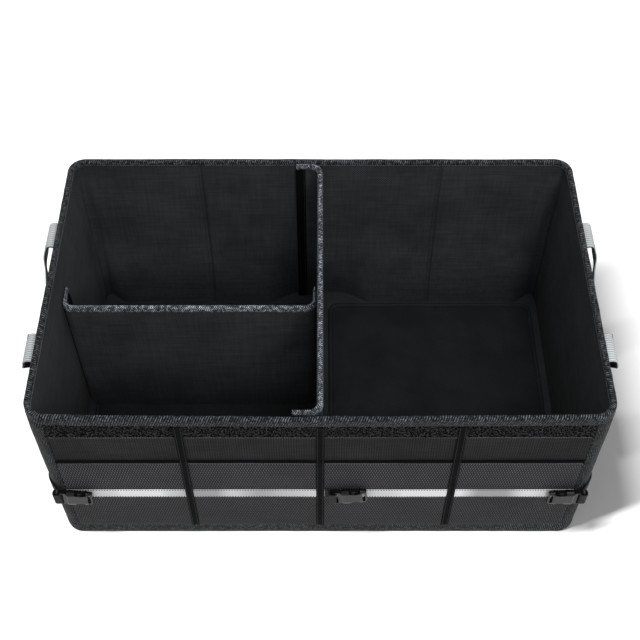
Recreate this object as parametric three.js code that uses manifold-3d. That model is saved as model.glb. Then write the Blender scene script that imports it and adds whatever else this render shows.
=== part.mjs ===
// Collapsible car trunk organizer: a stiffened fabric box with hook-and-loop dividers, loose base boards,
// a row of flat mesh pockets, webbing handles on the short sides and three side-release buckles in front.
// Millimetres, +Z up, origin at the middle of the underside, the pocket side faces -Y.
import * as THREE from "three";
import { mergeVertices } from "three/addons/utils/BufferGeometryUtils.js";
import Module from "manifold-3d";

const wasm = await Module();
wasm.setup();

// The box: outer faces of its cloth
const boxWidth = 620;
const boxDepth = 376;
const boxHeight = 262;
const cornerRadius = 20;
const cornerSteps = 5;

// Layers of a wall, from outside in: cloth, stiffener board, lining
const clearance = 0.3;
const clothThickness = 0.9;
const boardThickness = 2.4;
const boardCornerRadius = 5;
const boardTopMargin = 6;

// The long walls fold at three upright lines, where no board stiffens them
const foldPitch = 150;
const foldGap = 9;
const creaseWidth = 5;

// Woven tapes bound over the raw edges
const tapeThickness = 0.6;
const rimTapeHeight = 13;
const baseTapeHeight = 20;
const cornerTapeAngle = 52;

// Front face, heights measured from the ground or down from the rim
const loopBandHeight = 24;
const loopBandThickness = 1.2;
const pocketDrop = 87;
const pocketHemHeight = 5;
const pocketHemThickness = 0.5;
const meshThickness = 0.6;
const ribbonHeight = 18;
const ribbonBottom = 93;
const ribbonThickness = 0.4;
const frontStripWidth = 9;
const frontStripRamp = 4;

// Loose boards on the floor
const baseBoardThickness = 3;
const baseBoardMargin = 9;
const baseBoardBackMargin = 22;
const baseBoardCornerRadius = 24;

// Dividers
const crossDividerY = -6;
const crossDividerDrop = 48;
const longDividerDrop = 0.6;
const dividerFlap = 27;
const dividerTapeHeight = 11;
const dividerBendRadius = 11;
const dividerBendSteps = 5;
const dividerSeam = 15;
const flapEdgeTapeWidth = 11;
const hookThickness = 1.2;
const hookMargin = 10;

// Handles: a strap that comes up out of its stitching, folds over and hangs as a loop
const handleWidth = 38;
const handleThickness = 1.4;
const handleBackingThickness = 1;
const handleCentreY = -8;
const handleHalfSpan = 82;
const handleStitchLength = 26;
const handleStitchDrop = 19;
const handleFoldRadius = 7;
const handleDrop = 92;
const handleLegSpread = 6;
const handleLegLeanOut = 1.5;
const handleLegLeanIn = 2;
const handleSagOffset = 18;
const handleTwistStart = 0.12;
const handleFoldSteps = 6;
const handleSagTilt = 35;
const handleSteps = 26;

// Side-release buckles, lengths measured from the bar that the webbing holds
const buckleLength = 41;
const buckleWidth = 25;
const buckleThickness = 8.4;
const buckleBar = 3.2;
const buckleSlot = 5;
const buckleMouth = 12;
const buckleHeight = 104;
const buckleStandoff = 8;
const plugThickness = 4.4;
const plugBaseThickness = 5.4;
const latchStart = 21;
const latchEnd = 34;
const latchDepth = 2.4;
const socketWall = 2;
const loopWidth = 20;
const loopThickness = 1.2;
const loopPlay = 2;
const cornerBuckleInset = 8;
const centreBuckleX = 12.5;
const leftBuckleTilt = 5;
const centreBuckleTilt = -5;
const rightBuckleTilt = 2;
const cornerTailWrap = 34;
const cornerTailLead = [8.2, -12.1];

// Values that follow from the sizes above
const wall = 2 * clothThickness + boardThickness + 2 * clearance;
const halfWidth = boxWidth / 2;
const halfDepth = boxDepth / 2;
const innerHalfWidth = halfWidth - wall;
const innerHalfDepth = halfDepth - wall;
const creaseRoom = boardThickness + clearance;
const liningFloor = clothThickness + clearance;
const floorTop = liningFloor + clothThickness;
const boardFloor = floorTop + clearance;
const boardTop = boardFloor + baseBoardThickness;
const rimTapeBottom = boxHeight - rimTapeHeight;
const tapeOuter = clearance + tapeThickness;
const dividerHalf = boardThickness / 2 + clearance + clothThickness;
const flapThickness = 2 * clothThickness;
const flapGap = 2 * hookThickness + 3 * clearance;
const folds = [-foldPitch, 0, foldPitch];
const handleStitchTop = boxHeight - handleStitchDrop;
const cornerBuckleX = halfWidth - cornerBuckleInset;

const colours = {
  cloth: 0x1b1c1f,
  lining: 0x17181a,
  tape: 0x3c3d40,
  board: 0x6b5d4a,
  loop: 0x131315,
  mesh: 0x45444a,
  reflective: 0xc9cbcd,
  strap: 0xc6cace,
  backing: 0x26272a,
  plastic: 0x0c0c0d,
};

function material(name) {
  return new THREE.MeshStandardMaterial({ name, color: colours[name], roughness: 0.9, metalness: 0 });
}

const materials = Object.fromEntries(Object.keys(colours).map((name) => [name, material(name)]));
materials.reflective.roughness = 0.35;
materials.plastic.roughness = 0.3;

// Geometry helpers

function radians(degrees) {
  return (degrees * Math.PI) / 180;
}

// A ring of plan points lifted to height z.
function level(points, z) {
  return points.map(([x, y]) => new THREE.Vector3(x, y, z));
}

function arc(centreX, centreY, radius, from, to, steps) {
  return Array.from({ length: steps + 1 }, (_, i) => {
    const angle = radians(from + ((to - from) * i) / steps);
    return [centreX + radius * Math.cos(angle), centreY + radius * Math.sin(angle)];
  });
}

// Triangles that close one end ring, wound the way the ring runs.
function capFaces(ring) {
  const normal = new THREE.Vector3();
  ring.forEach((point, i) => {
    const next = ring[(i + 1) % ring.length];
    normal.add(new THREE.Vector3().crossVectors(point, next));
  });
  const [nx, ny, nz] = [Math.abs(normal.x), Math.abs(normal.y), Math.abs(normal.z)];
  const flat = ring.map((p) => {
    if (nz >= nx && nz >= ny) return new THREE.Vector2(p.x, p.y);
    return nx >= ny ? new THREE.Vector2(p.y, p.z) : new THREE.Vector2(p.z, p.x);
  });
  const turn = Math.sign(THREE.ShapeUtils.area(flat));
  return THREE.ShapeUtils.triangulateShape(flat, []).map(([a, b, c]) => {
    const same = Math.sign(THREE.ShapeUtils.area([flat[a], flat[b], flat[c]])) === turn;
    return same ? [a, b, c] : [a, c, b];
  });
}

// A closed surface through rings of equal length. A closed loft joins its last ring to its first.
// Each quad is split along its shorter diagonal, so that the faces of a twisted strap stay parallel.
function loft(rings, closed = false) {
  const count = rings[0].length;
  const points = rings.flat();
  const index = [];
  const last = closed ? rings.length : rings.length - 1;
  for (let k = 0; k < last; k++) {
    const low = k * count;
    const high = ((k + 1) % rings.length) * count;
    for (let i = 0; i < count; i++) {
      const j = (i + 1) % count;
      const [a, b, c, d] = [low + i, low + j, high + j, high + i];
      const rising = points[a].distanceTo(points[c]) <= points[b].distanceTo(points[d]);
      index.push(...(rising ? [a, b, c, a, c, d] : [a, b, d, b, c, d]));
    }
  }
  if (!closed) {
    const end = (rings.length - 1) * count;
    capFaces(rings[0]).forEach(([a, b, c]) => index.push(a, c, b));
    capFaces(rings.at(-1)).forEach(([a, b, c]) => index.push(end + a, end + b, end + c));
  }
  const geometry = new THREE.BufferGeometry().setFromPoints(points);
  geometry.setIndex(index);
  if (volume(geometry) < 0) geometry.index.array.reverse();
  return geometry;
}

function volume(geometry) {
  const position = geometry.attributes.position;
  const index = geometry.index.array;
  const [a, b, c] = [new THREE.Vector3(), new THREE.Vector3(), new THREE.Vector3()];
  let sum = 0;
  for (let i = 0; i < index.length; i += 3) {
    a.fromBufferAttribute(position, index[i]);
    b.fromBufferAttribute(position, index[i + 1]);
    c.fromBufferAttribute(position, index[i + 2]);
    sum += a.dot(b.cross(c));
  }
  return sum;
}

function upright(outline, bottom, top) {
  return loft([level(outline, bottom), level(outline, top)]);
}

function solid(geometry) {
  const bare = geometry.clone();
  bare.deleteAttribute("normal");
  bare.deleteAttribute("uv");
  const merged = mergeVertices(bare, 1e-4);
  const triVerts = new Uint32Array(merged.index.array);
  const vertProperties = new Float32Array(merged.attributes.position.array);
  return new wasm.Manifold(new wasm.Mesh({ numProp: 3, vertProperties, triVerts }));
}

function meshed(manifold) {
  const { numProp, vertProperties, triVerts } = manifold.getMesh();
  const geometry = new THREE.BufferGeometry();
  const position = new Float32Array((vertProperties.length / numProp) * 3);
  for (let i = 0; i * numProp < vertProperties.length; i++) {
    position.set(vertProperties.subarray(i * numProp, i * numProp + 3), i * 3);
  }
  geometry.setAttribute("position", new THREE.BufferAttribute(position, 3));
  geometry.setIndex(new THREE.BufferAttribute(new Uint32Array(triVerts), 1));
  return geometry;
}

// An open plan line moved sideways, to the left of its own direction for a positive distance.
function offsetLine(points, distance) {
  return points.map(([x, y], i) => {
    const [px, py] = points[Math.max(i - 1, 0)];
    const [nx, ny] = points[Math.min(i + 1, points.length - 1)];
    const before = new THREE.Vector2(x - px, y - py).normalize();
    const after = new THREE.Vector2(nx - x, ny - y).normalize();
    if (i === 0) before.copy(after);
    if (i === points.length - 1) after.copy(before);
    const along = before.clone().add(after).normalize();
    const stretch = distance / along.dot(before);
    return [x - along.y * stretch, y + along.x * stretch];
  });
}

function ribbonOutline(centreLine, thickness) {
  const left = offsetLine(centreLine, thickness / 2);
  const right = offsetLine(centreLine, -thickness / 2);
  return [...right, ...left.reverse()];
}

function roundedRectangle(x0, y0, x1, y1, radius, steps = 3) {
  return [
    ...arc(x0 + radius, y0 + radius, radius, 180, 270, steps),
    ...arc(x1 - radius, y0 + radius, radius, 270, 360, steps),
    ...arc(x1 - radius, y1 - radius, radius, 0, 90, steps),
    ...arc(x0 + radius, y1 - radius, radius, 90, 180, steps),
  ];
}

// Plan outline of the box, moved out by an offset, with a crease of the given depth at each fold line.
// A positive crease points out of the box.
function boxOutline(offset, crease = 0) {
  const halfX = halfWidth + offset;
  const halfY = halfDepth + offset;
  const radius = cornerRadius + offset;
  const creases = crease ? folds : [];
  const creasePoints = (y, outward) =>
    creases.flatMap((x) => [
      [x - creaseWidth / 2, y],
      [x, y + outward],
      [x + creaseWidth / 2, y],
    ]);
  return [
    ...creasePoints(-halfY, -crease),
    ...arc(halfX - radius, radius - halfY, radius, 270, 360, cornerSteps),
    ...arc(halfX - radius, halfY - radius, radius, 0, 90, cornerSteps),
    ...creasePoints(halfY, crease).reverse(),
    ...arc(radius - halfX, halfY - radius, radius, 90, 180, cornerSteps),
    ...arc(radius - halfX, radius - halfY, radius, 180, 270, cornerSteps),
  ];
}

const organizer = new THREE.Group();

function add(name, geometry, look, parent = organizer) {
  const mesh = new THREE.Mesh(geometry, look);
  mesh.name = name;
  parent.add(mesh);
  return mesh;
}

// The two cloth boxes, one in the other, pinched together at the fold lines

function clothBox(outer, inner, crease, floorBottom, floorHeight) {
  return loft([
    level(boxOutline(outer, crease), floorBottom),
    level(boxOutline(outer, crease), boxHeight),
    level(boxOutline(inner, crease), boxHeight),
    level(boxOutline(inner, crease), floorHeight),
  ]);
}

const liningOuter = clothThickness - wall;
add("outer_shell", clothBox(0, -clothThickness, -creaseRoom / 3, 0, clothThickness), materials.cloth);
add("lining", clothBox(liningOuter, -wall, (creaseRoom * 2) / 3, liningFloor, floorTop), materials.lining);

// Stiffener boards between the two cloth boxes: four in each long wall, one in each short wall

function stiffener(length, bottom, top) {
  const outline = roundedRectangle(-length / 2, bottom, length / 2, top, boardCornerRadius);
  const standing = outline.map(([x, z]) => new THREE.Vector3(x, 0, z));
  const back = standing.map((p) => p.clone().setY(boardThickness));
  return loft([standing, back]);
}

const stiffenerTop = boxHeight - boardTopMargin;
const flatEnd = halfWidth - cornerRadius;
const panelEdges = [-flatEnd - foldGap / 2, ...folds, flatEnd + foldGap / 2];
const faceInset = clothThickness + clearance;
for (const [side, sign] of [["front", -1], ["back", 1]]) {
  for (let i = 0; i + 1 < panelEdges.length; i++) {
    const length = panelEdges[i + 1] - panelEdges[i] - foldGap;
    const geometry = stiffener(length, boardFloor, stiffenerTop);
    const board = add(`${side}_stiffener_${i + 1}`, geometry, materials.board);
    const y = sign < 0 ? faceInset - halfDepth : halfDepth - faceInset - boardThickness;
    board.position.set((panelEdges[i] + panelEdges[i + 1]) / 2, y, 0);
  }
}
for (const [side, sign] of [["left", -1], ["right", 1]]) {
  const geometry = stiffener(boxDepth - 2 * cornerRadius, boardFloor, stiffenerTop);
  const board = add(`${side}_stiffener`, geometry, materials.board);
  board.rotation.z = Math.PI / 2;
  board.position.x = sign > 0 ? halfWidth - faceInset : faceInset + boardThickness - halfWidth;
}

// Tape bound over the rim: a folded U all the way round, its top edges bevelled

function bindingSection(outside, inside, bottom, top) {
  return [
    [outside + tapeThickness, bottom],
    [outside + tapeThickness, top],
    [outside, top + tapeThickness],
    [inside, top + tapeThickness],
    [inside - tapeThickness, top],
    [inside - tapeThickness, bottom],
    [inside, bottom],
    [inside, top],
    [outside, top],
    [outside, bottom],
  ];
}

const rimSection = bindingSection(clearance, -wall - clearance, rimTapeBottom, boxHeight + clearance);
const rimRings = rimSection.map(([offset, z]) => level(boxOutline(offset), z));
add("rim_binding", loft(rimRings, true), materials.tape);

const baseSection = [
  [clearance, clearance],
  [tapeOuter, clearance],
  [tapeOuter, baseTapeHeight],
  [clearance, baseTapeHeight],
];
const baseRings = baseSection.map(([offset, z]) => level(boxOutline(offset), z));
add("base_binding", loft(baseRings, true), materials.tape);

// Tape over the four upright corner seams

const seamBottom = baseTapeHeight + clearance;
const seamTop = rimTapeBottom - clearance;
const corners = [
  ["front_right_corner_tape", 1, -1, 315],
  ["back_right_corner_tape", 1, 1, 45],
  ["back_left_corner_tape", -1, 1, 135],
  ["front_left_corner_tape", -1, -1, 225],
];
for (const [name, signX, signY, middle] of corners) {
  const x = signX * (halfWidth - cornerRadius);
  const y = signY * (halfDepth - cornerRadius);
  const from = middle - cornerTapeAngle / 2;
  const to = middle + cornerTapeAngle / 2;
  const inner = arc(x, y, cornerRadius + clearance, from, to, cornerSteps);
  const outer = arc(x, y, cornerRadius + tapeOuter, from, to, cornerSteps);
  add(name, upright([...outer, ...inner.reverse()], seamBottom, seamTop), materials.tape);
}

// Front face, from the cloth outwards: loop band, mesh pockets with their hem, reflective ribbon, strips

function frontTape(halfLength, near, far, bottom, top) {
  const y0 = -halfDepth - far;
  const y1 = -halfDepth - near;
  const outline = [[-halfLength, y0], [halfLength, y0], [halfLength, y1], [-halfLength, y1]];
  return upright(outline, bottom, top);
}

const frontHalf = halfWidth - cornerRadius;
const bandTop = rimTapeBottom - clearance;
const bandBottom = bandTop - loopBandHeight;
add(
  "front_loop_band",
  frontTape(frontHalf, clearance, clearance + loopBandThickness, bandBottom, bandTop),
  materials.loop,
);

const hemTop = boxHeight - pocketDrop;
const meshTop = hemTop - pocketHemThickness - clearance;
const meshNear = clearance + pocketHemThickness + clearance;
const meshFar = meshNear + meshThickness;
add("pocket_mesh", frontTape(frontHalf, meshNear, meshFar, seamBottom, meshTop), materials.mesh);

const hemFar = meshFar + clearance + pocketHemThickness;
const hemLine = [
  [clearance, hemTop - pocketHemHeight],
  [clearance, hemTop],
  [hemFar, hemTop],
  [hemFar, hemTop - pocketHemHeight],
  [hemFar - pocketHemThickness, hemTop - pocketHemHeight],
  [hemFar - pocketHemThickness, hemTop - pocketHemThickness],
  [clearance + pocketHemThickness, hemTop - pocketHemThickness],
  [clearance + pocketHemThickness, hemTop - pocketHemHeight],
];
const hemRings = [-frontHalf, frontHalf].map((x) =>
  hemLine.map(([offset, z]) => new THREE.Vector3(x, -halfDepth - offset, z)),
);
add("pocket_hem", loft(hemRings), materials.tape);

const ribbonNear = meshFar + clearance;
const ribbonFar = ribbonNear + ribbonThickness;
const ribbonTop = ribbonBottom + ribbonHeight;
add(
  "reflective_ribbon",
  frontTape(frontHalf, ribbonNear, ribbonFar, ribbonBottom, ribbonTop),
  materials.reflective,
);

// A strip lies on the loop band, climbs over the hem and the ribbon and comes down to the mesh.
const stripStations = [
  [bandTop, clearance + loopBandThickness + clearance],
  [hemTop + frontStripRamp, clearance + loopBandThickness + clearance],
  [hemTop + clearance, hemFar + clearance],
  [ribbonBottom - clearance, hemFar + clearance],
  [ribbonBottom - frontStripRamp, meshFar + clearance],
  [seamBottom, meshFar + clearance],
];
const stripNames = ["front_strip_left", "front_strip_centre", "front_strip_right"];
stripNames.forEach((name, i) => {
  const x0 = folds[i] - frontStripWidth / 2;
  const x1 = folds[i] + frontStripWidth / 2;
  const rings = stripStations.map(([z, offset]) => {
    const y1 = -halfDepth - offset;
    const y0 = y1 - tapeThickness;
    return level([[x0, y0], [x1, y0], [x1, y1], [x0, y1]], z);
  });
  add(name, loft(rings), materials.tape);
});

// Loose base boards, one on each side of the long divider

for (const [side, sign] of [["left", -1], ["right", 1]]) {
  const near = sign * (dividerHalf + baseBoardMargin);
  const far = sign * (innerHalfWidth - baseBoardMargin);
  const outline = roundedRectangle(
    Math.min(near, far),
    baseBoardMargin - innerHalfDepth,
    Math.max(near, far),
    innerHalfDepth - baseBoardBackMargin,
    baseBoardCornerRadius,
    cornerSteps,
  );
  add(`base_board_${side}`, upright(outline, boardFloor, boardTop), materials.board);
}

// A divider is a board in a sewn sleeve. Both ends of the sleeve run on as flaps that turn along the walls
// and are held there by hook and loop. Its own frame has the length along X and the flaps towards +Y.
function divider(name, length, bottom, top) {
  const group = new THREE.Group();
  const end = length / 2;
  const flapEnd = dividerHalf + dividerFlap;
  const bend = dividerBendRadius;
  const outside = [
    [-end, flapEnd],
    ...arc(bend - end, bend - dividerHalf, bend, 180, 270, dividerBendSteps),
    ...arc(end - bend, bend - dividerHalf, bend, 270, 360, dividerBendSteps),
    [end, flapEnd],
  ];
  const inner = end - flapThickness;
  const inside = [
    [-inner, flapEnd],
    ...arc(bend - inner, bend + dividerHalf, bend, 180, 270, dividerBendSteps),
    ...arc(inner - bend, bend + dividerHalf, bend, 270, 360, dividerBendSteps),
    [inner, flapEnd],
  ];

  const tapeTop = top + clearance;
  const sleeve = solid(upright([...outside, ...inside.toReversed()], bottom, top));
  const pocketHalf = boardThickness / 2 + clearance;
  const pocketEnd = end - dividerSeam;
  const pocketOutline = [
    [-pocketEnd, -pocketHalf],
    [pocketEnd, -pocketHalf],
    [pocketEnd, pocketHalf],
    [-pocketEnd, pocketHalf],
  ];
  const pocket = solid(upright(pocketOutline, bottom + clothThickness, top + 1));
  add(`${name}_cover`, meshed(sleeve.subtract(pocket)), materials.lining, group);

  const boardLength = 2 * (pocketEnd - clearance);
  const boardBase = bottom + clothThickness + clearance;
  const board = add(`${name}_board`, stiffener(boardLength, boardBase, top - 1), materials.board, group);
  board.position.y = -boardThickness / 2;

  const outerNear = offsetLine(outside, -clearance);
  const outerFar = offsetLine(outside, -tapeOuter);
  const innerNear = offsetLine(inside, clearance);
  const innerFar = offsetLine(inside, tapeOuter);
  const tapeBottom = top - dividerTapeHeight;
  const bindingRings = outside.map((_, i) =>
    [
      [outerFar[i], tapeBottom],
      [outerFar[i], tapeTop],
      [outerNear[i], tapeTop + tapeThickness],
      [innerNear[i], tapeTop + tapeThickness],
      [innerFar[i], tapeTop],
      [innerFar[i], tapeBottom],
      [innerNear[i], tapeBottom],
      [innerNear[i], tapeTop],
      [outerNear[i], tapeTop],
      [outerNear[i], tapeBottom],
    ].map(([[x, y], z]) => new THREE.Vector3(x, y, z)),
  );
  add(`${name}_binding`, loft(bindingRings), materials.tape, group);

  const tapedTop = tapeBottom - clearance;
  const edgeStart = flapEnd - flapEdgeTapeWidth;
  const hookEnd = edgeStart - clearance;
  for (const [side, sign] of [["a", -1], ["b", 1]]) {
    const edge = [
      [end + clearance, edgeStart],
      [end + tapeOuter, edgeStart],
      [end + tapeOuter, flapEnd + tapeOuter],
      [inner - tapeOuter, flapEnd + tapeOuter],
      [inner - tapeOuter, edgeStart],
      [inner - clearance, edgeStart],
      [inner - clearance, flapEnd + clearance],
      [end + clearance, flapEnd + clearance],
    ].map(([x, y]) => [sign * x, y]);
    add(`${name}_edge_tape_${side}`, upright(edge, bottom, tapedTop), materials.tape, group);

    const strips = [
      [`${name}_hook_${side}`, end + clearance],
      [`${name}_wall_loop_${side}`, end + 2 * clearance + hookThickness],
    ];
    for (const [stripName, near] of strips) {
      const outline = [
        [near, bend],
        [near + hookThickness, bend],
        [near + hookThickness, hookEnd],
        [near, hookEnd],
      ].map(([x, y]) => [sign * x, y]);
      const strip = upright(outline, bottom + hookMargin, tapedTop - hookMargin);
      add(stripName, strip, materials.loop, group);
    }
  }
  organizer.add(group);
  return group;
}

const longLength = 2 * (innerHalfDepth - flapGap);
const longDivider = divider("long_divider", longLength, boardFloor, boxHeight - longDividerDrop);
longDivider.rotation.z = Math.PI / 2;

const crossSpan = innerHalfWidth - dividerHalf;
const crossLength = crossSpan - 2 * flapGap;
const crossDivider = divider(
  "cross_divider",
  crossLength,
  boardTop + clearance,
  boxHeight - crossDividerDrop,
);
crossDivider.position.set(-dividerHalf - crossSpan / 2, crossDividerY, 0);

// Handles. The path is given as distance out from the wall, place along the wall, and height.

function handlePath() {
  const start = clearance + handleThickness / 2;
  const centre = start + handleFoldRadius;
  const fold = arc(centre, handleStitchTop, handleFoldRadius, 180, 0, handleFoldSteps);
  const end = fold.map(([out, z]) => [out, handleHalfSpan, z]);
  const reach = centre + handleFoldRadius;
  const half = [
    [start, handleHalfSpan, handleStitchTop - handleStitchLength],
    ...end,
    [reach + handleLegLeanOut, handleHalfSpan - handleLegSpread / 2, handleStitchTop - handleDrop * 0.25],
    [reach - handleLegLeanIn, handleHalfSpan - handleLegSpread * 3, handleStitchTop - handleDrop * 0.6],
    [handleSagOffset - 1, handleHalfSpan / 2 - handleLegSpread, handleStitchTop - handleDrop * 0.9],
  ];
  const mirrored = half.toReversed().map(([out, along, z]) => [out, -along, z]);
  const bottom = [[handleSagOffset, 0, handleStitchTop - handleDrop]];
  const points = [...half, ...bottom, ...mirrored].map((p) => new THREE.Vector3(...p));
  return new THREE.CatmullRomCurve3(points, false, "centripetal");
}

// A flat strap along the path. It turns half round between its two ends, edge-on at the bottom of the loop.
function strap(path, side, thickness, inset) {
  const steps = 2 * handleSteps;
  const tilt = radians(handleSagTilt);
  const rings = [];
  for (let i = 0; i <= steps; i++) {
    const share = i / steps;
    const centre = path.getPointAt(share);
    const along = path.getTangentAt(share);
    const turn = Math.PI * THREE.MathUtils.smoothstep(share, handleTwistStart, 1 - handleTwistStart);
    const across = new THREE.Vector3(
      -Math.sin(turn) * Math.cos(tilt),
      Math.cos(turn),
      -Math.sin(turn) * Math.sin(tilt),
    );
    across.addScaledVector(along, -across.dot(along)).normalize();
    const face = new THREE.Vector3().crossVectors(along, across);
    const middle = centre.clone().addScaledVector(face, -inset);
    const ring = [[-1, -1], [1, -1], [1, 1], [-1, 1]].map(([u, v]) =>
      middle
        .clone()
        .addScaledVector(across, (u * handleWidth) / 2)
        .addScaledVector(face, (v * thickness) / 2),
    );
    rings.push(ring.map((p) => new THREE.Vector3(side * (halfWidth + p.x), handleCentreY + p.y, p.z)));
  }
  return loft(rings);
}

const backingInset = (handleThickness + handleBackingThickness) / 2 + clearance;
for (const [name, side] of [["left", -1], ["right", 1]]) {
  const path = handlePath();
  const webbing = strap(path, side, handleThickness, 0);
  const backing = strap(path, side, handleBackingThickness, backingInset);
  add(`handle_${name}_webbing`, webbing, materials.strap);
  add(`handle_${name}_backing`, backing, materials.backing);
}

// Side-release buckle. Its own frame has the pull along +X, the width along Z and the wall towards +Y.

// A flat outline in X and Z, cut from a plate of the given thickness that is centred on Y.
function plate(shape, thickness) {
  const settings = { depth: thickness, bevelEnabled: false, curveSegments: 4 };
  const geometry = new THREE.ExtrudeGeometry(shape, settings);
  geometry.rotateX(Math.PI / 2);
  geometry.translate(0, thickness / 2, 0);
  return solid(geometry);
}

function shapeOf(points) {
  return new THREE.Shape(points.map(([x, y]) => new THREE.Vector2(x, y)));
}

// The plug: a base with the bar and slot for the webbing, two sprung arms with latch heads, and a guide
function plug() {
  const baseEnd = buckleMouth - clearance;
  const halfBase = buckleWidth / 2 - 0.5;
  const slotEnd = buckleBar + buckleSlot;
  const halfSlot = loopWidth / 2 + 0.9;
  const base = shapeOf(roundedRectangle(0, -halfBase, baseEnd, halfBase, 2.4));
  base.holes.push(shapeOf(roundedRectangle(buckleBar, -halfSlot, slotEnd, halfSlot, 1)));

  const armOut = buckleWidth / 2 - socketWall - 0.7;
  const root = baseEnd - 1;
  const half = new THREE.Path();
  half.moveTo(latchEnd - 3, 0);
  half.lineTo(latchEnd - 3, 1);
  half.lineTo(latchEnd - 5, 1.8);
  half.lineTo(root + 4, 1.8);
  half.quadraticCurveTo(root + 2, 1.8, root + 2, 3.6);
  half.quadraticCurveTo(root + 2, armOut - 3.6, root + 4, armOut - 3.4);
  half.lineTo(latchStart + 4, armOut - 2.4);
  half.lineTo(latchEnd - 2, armOut - 3.6);
  half.quadraticCurveTo(latchEnd, armOut - 3.4, latchEnd - 0.6, armOut - 0.4);
  half.quadraticCurveTo(latchEnd - 5, armOut + latchDepth + 1.2, latchStart + 0.5, armOut + latchDepth);
  half.lineTo(latchStart + 0.4, armOut);
  half.lineTo(root, armOut);
  const upper = half.getPoints(4).map((p) => [p.x, p.y]);
  const lower = upper.slice(1).reverse().map(([x, z]) => [x, -z]);
  const arms = shapeOf([...upper, ...lower]);
  return meshed(plate(base, plugBaseThickness).add(plate(arms, plugThickness)));
}

// The socket: a flattened sleeve, open at the mouth, with a curved notch on each edge for the latch heads
function socket() {
  const stations = [
    [buckleMouth, buckleWidth / 2 - 0.5, buckleThickness / 2 - 0.5, 3.2],
    [buckleMouth + 1.6, buckleWidth / 2, buckleThickness / 2, 3.6],
    [latchStart, buckleWidth / 2, buckleThickness / 2, 3.6],
    [latchEnd, buckleWidth / 2 - 0.3, buckleThickness / 2 - 0.3, 3.4],
    [latchEnd + 2, buckleWidth / 2 - 0.6, buckleThickness / 2 - 1.4, 2],
    [buckleLength - 1, buckleWidth / 2 - 0.9, buckleThickness / 2 - 1.8, 1.6],
    [buckleLength, buckleWidth / 2 - 1.9, buckleThickness / 2 - 2.6, 1],
  ];
  const ringAt = (x, halfZ, halfY, radius) =>
    roundedRectangle(-halfY, -halfZ, halfY, halfZ, radius).map(([y, z]) => new THREE.Vector3(x, y, z));
  const shell = solid(loft(stations.map((station) => ringAt(...station))));

  const cavityZ = buckleWidth / 2 - socketWall;
  const cavityY = plugThickness / 2 + clearance;
  const cavityEnd = latchEnd + 0.6;
  const cavity = solid(
    loft([ringAt(buckleMouth - 1, cavityZ, cavityY, 0.8), ringAt(cavityEnd, cavityZ, cavityY, 0.8)]),
  );

  const notchMiddle = (latchStart + latchEnd) / 2;
  const slotStart = cavityEnd + 1.2;
  const slot = shapeOf(
    roundedRectangle(slotStart, 1 - loopWidth / 2, buckleLength - 2, loopWidth / 2 - 1, 0.9),
  );
  let made = shell.subtract(cavity).subtract(plate(slot, buckleThickness * 2));
  for (const sign of [-1, 1]) {
    const edge = sign * buckleWidth;
    const shoulder = sign * (cavityZ - 0.2);
    const notch = new THREE.Shape();
    notch.moveTo(latchStart, edge);
    notch.lineTo(latchStart, shoulder);
    notch.quadraticCurveTo(notchMiddle, sign * (cavityZ - 4.6), latchEnd, shoulder);
    notch.lineTo(latchEnd, edge);
    made = made.subtract(plate(notch, buckleThickness * 2));
  }
  return meshed(made);
}

// The webbing loop round the bar, with a tail that is sewn to the box, both in plan
function webbingLoop(tailLine) {
  const holeY = plugBaseThickness / 2 + 0.4;
  const holeX0 = -loopPlay;
  const holeX1 = buckleBar + loopPlay;
  const outline = roundedRectangle(
    holeX0 - loopThickness,
    -holeY - loopThickness,
    holeX1 + loopThickness,
    holeY + loopThickness,
    2.6,
  );
  const hole = roundedRectangle(holeX0, -holeY, holeX1, holeY, 1.6);
  const bottom = -loopWidth / 2;
  const top = loopWidth / 2;
  const ring = solid(upright(outline, bottom, top));
  const tail = solid(upright(ribbonOutline(tailLine, 2 * loopThickness), bottom, top));
  const opening = solid(upright(hole, bottom - 1, top + 1));
  return meshed(ring.add(tail).subtract(opening));
}

// The centre loop is sewn flat beside the middle strip. The corner loops come round the corner seam.
const tailRise = buckleStandoff - ribbonFar - clearance - loopThickness;
const centreTail = [
  [frontStripWidth / 2 + 2 * clearance - centreBuckleX, tailRise],
  [0.6, tailRise],
];

function cornerTail() {
  const radius = cornerRadius + tapeOuter + clearance + loopThickness;
  const originX = cornerBuckleX - (halfWidth - cornerRadius);
  const originY = cornerRadius + buckleStandoff;
  const around = arc(originX, originY, radius, 180, 180 + cornerTailWrap, 3);
  const leave = around.at(-1);
  return [
    [originX - radius, originY + loopWidth],
    ...around,
    [leave[0] + cornerTailLead[0], leave[1] + cornerTailLead[1]],
  ];
}

function buckle(name, x, tilt, tail, mirrored) {
  const place = new THREE.Group();
  place.position.set(x, -halfDepth - buckleStandoff, buckleHeight);
  if (mirrored) place.rotation.z = Math.PI;
  const tilted = new THREE.Group();
  tilted.rotation.y = radians(tilt);
  place.add(tilted);
  add(`${name}_buckle_plug`, plug(), materials.plastic, tilted);
  add(`${name}_buckle_socket`, socket(), materials.plastic, tilted);
  const line = mirrored ? tail.map(([px, py]) => [px, -py]) : tail;
  add(`${name}_buckle_loop`, webbingLoop(line), materials.backing, place);
  organizer.add(place);
}

buckle("left", -cornerBuckleX, leftBuckleTilt, cornerTail(), false);
buckle("centre", centreBuckleX, centreBuckleTilt, centreTail, false);
buckle("right", cornerBuckleX, rightBuckleTilt, cornerTail(), true);

export default organizer;
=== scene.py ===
"""The looks of a car trunk organizer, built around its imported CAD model.

Lengths are in millimetres and turn into metres when a mesh is made. The pocket side faces -Y.
"""

import math

import bmesh
import bpy
import numpy as np
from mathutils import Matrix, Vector, noise


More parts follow.
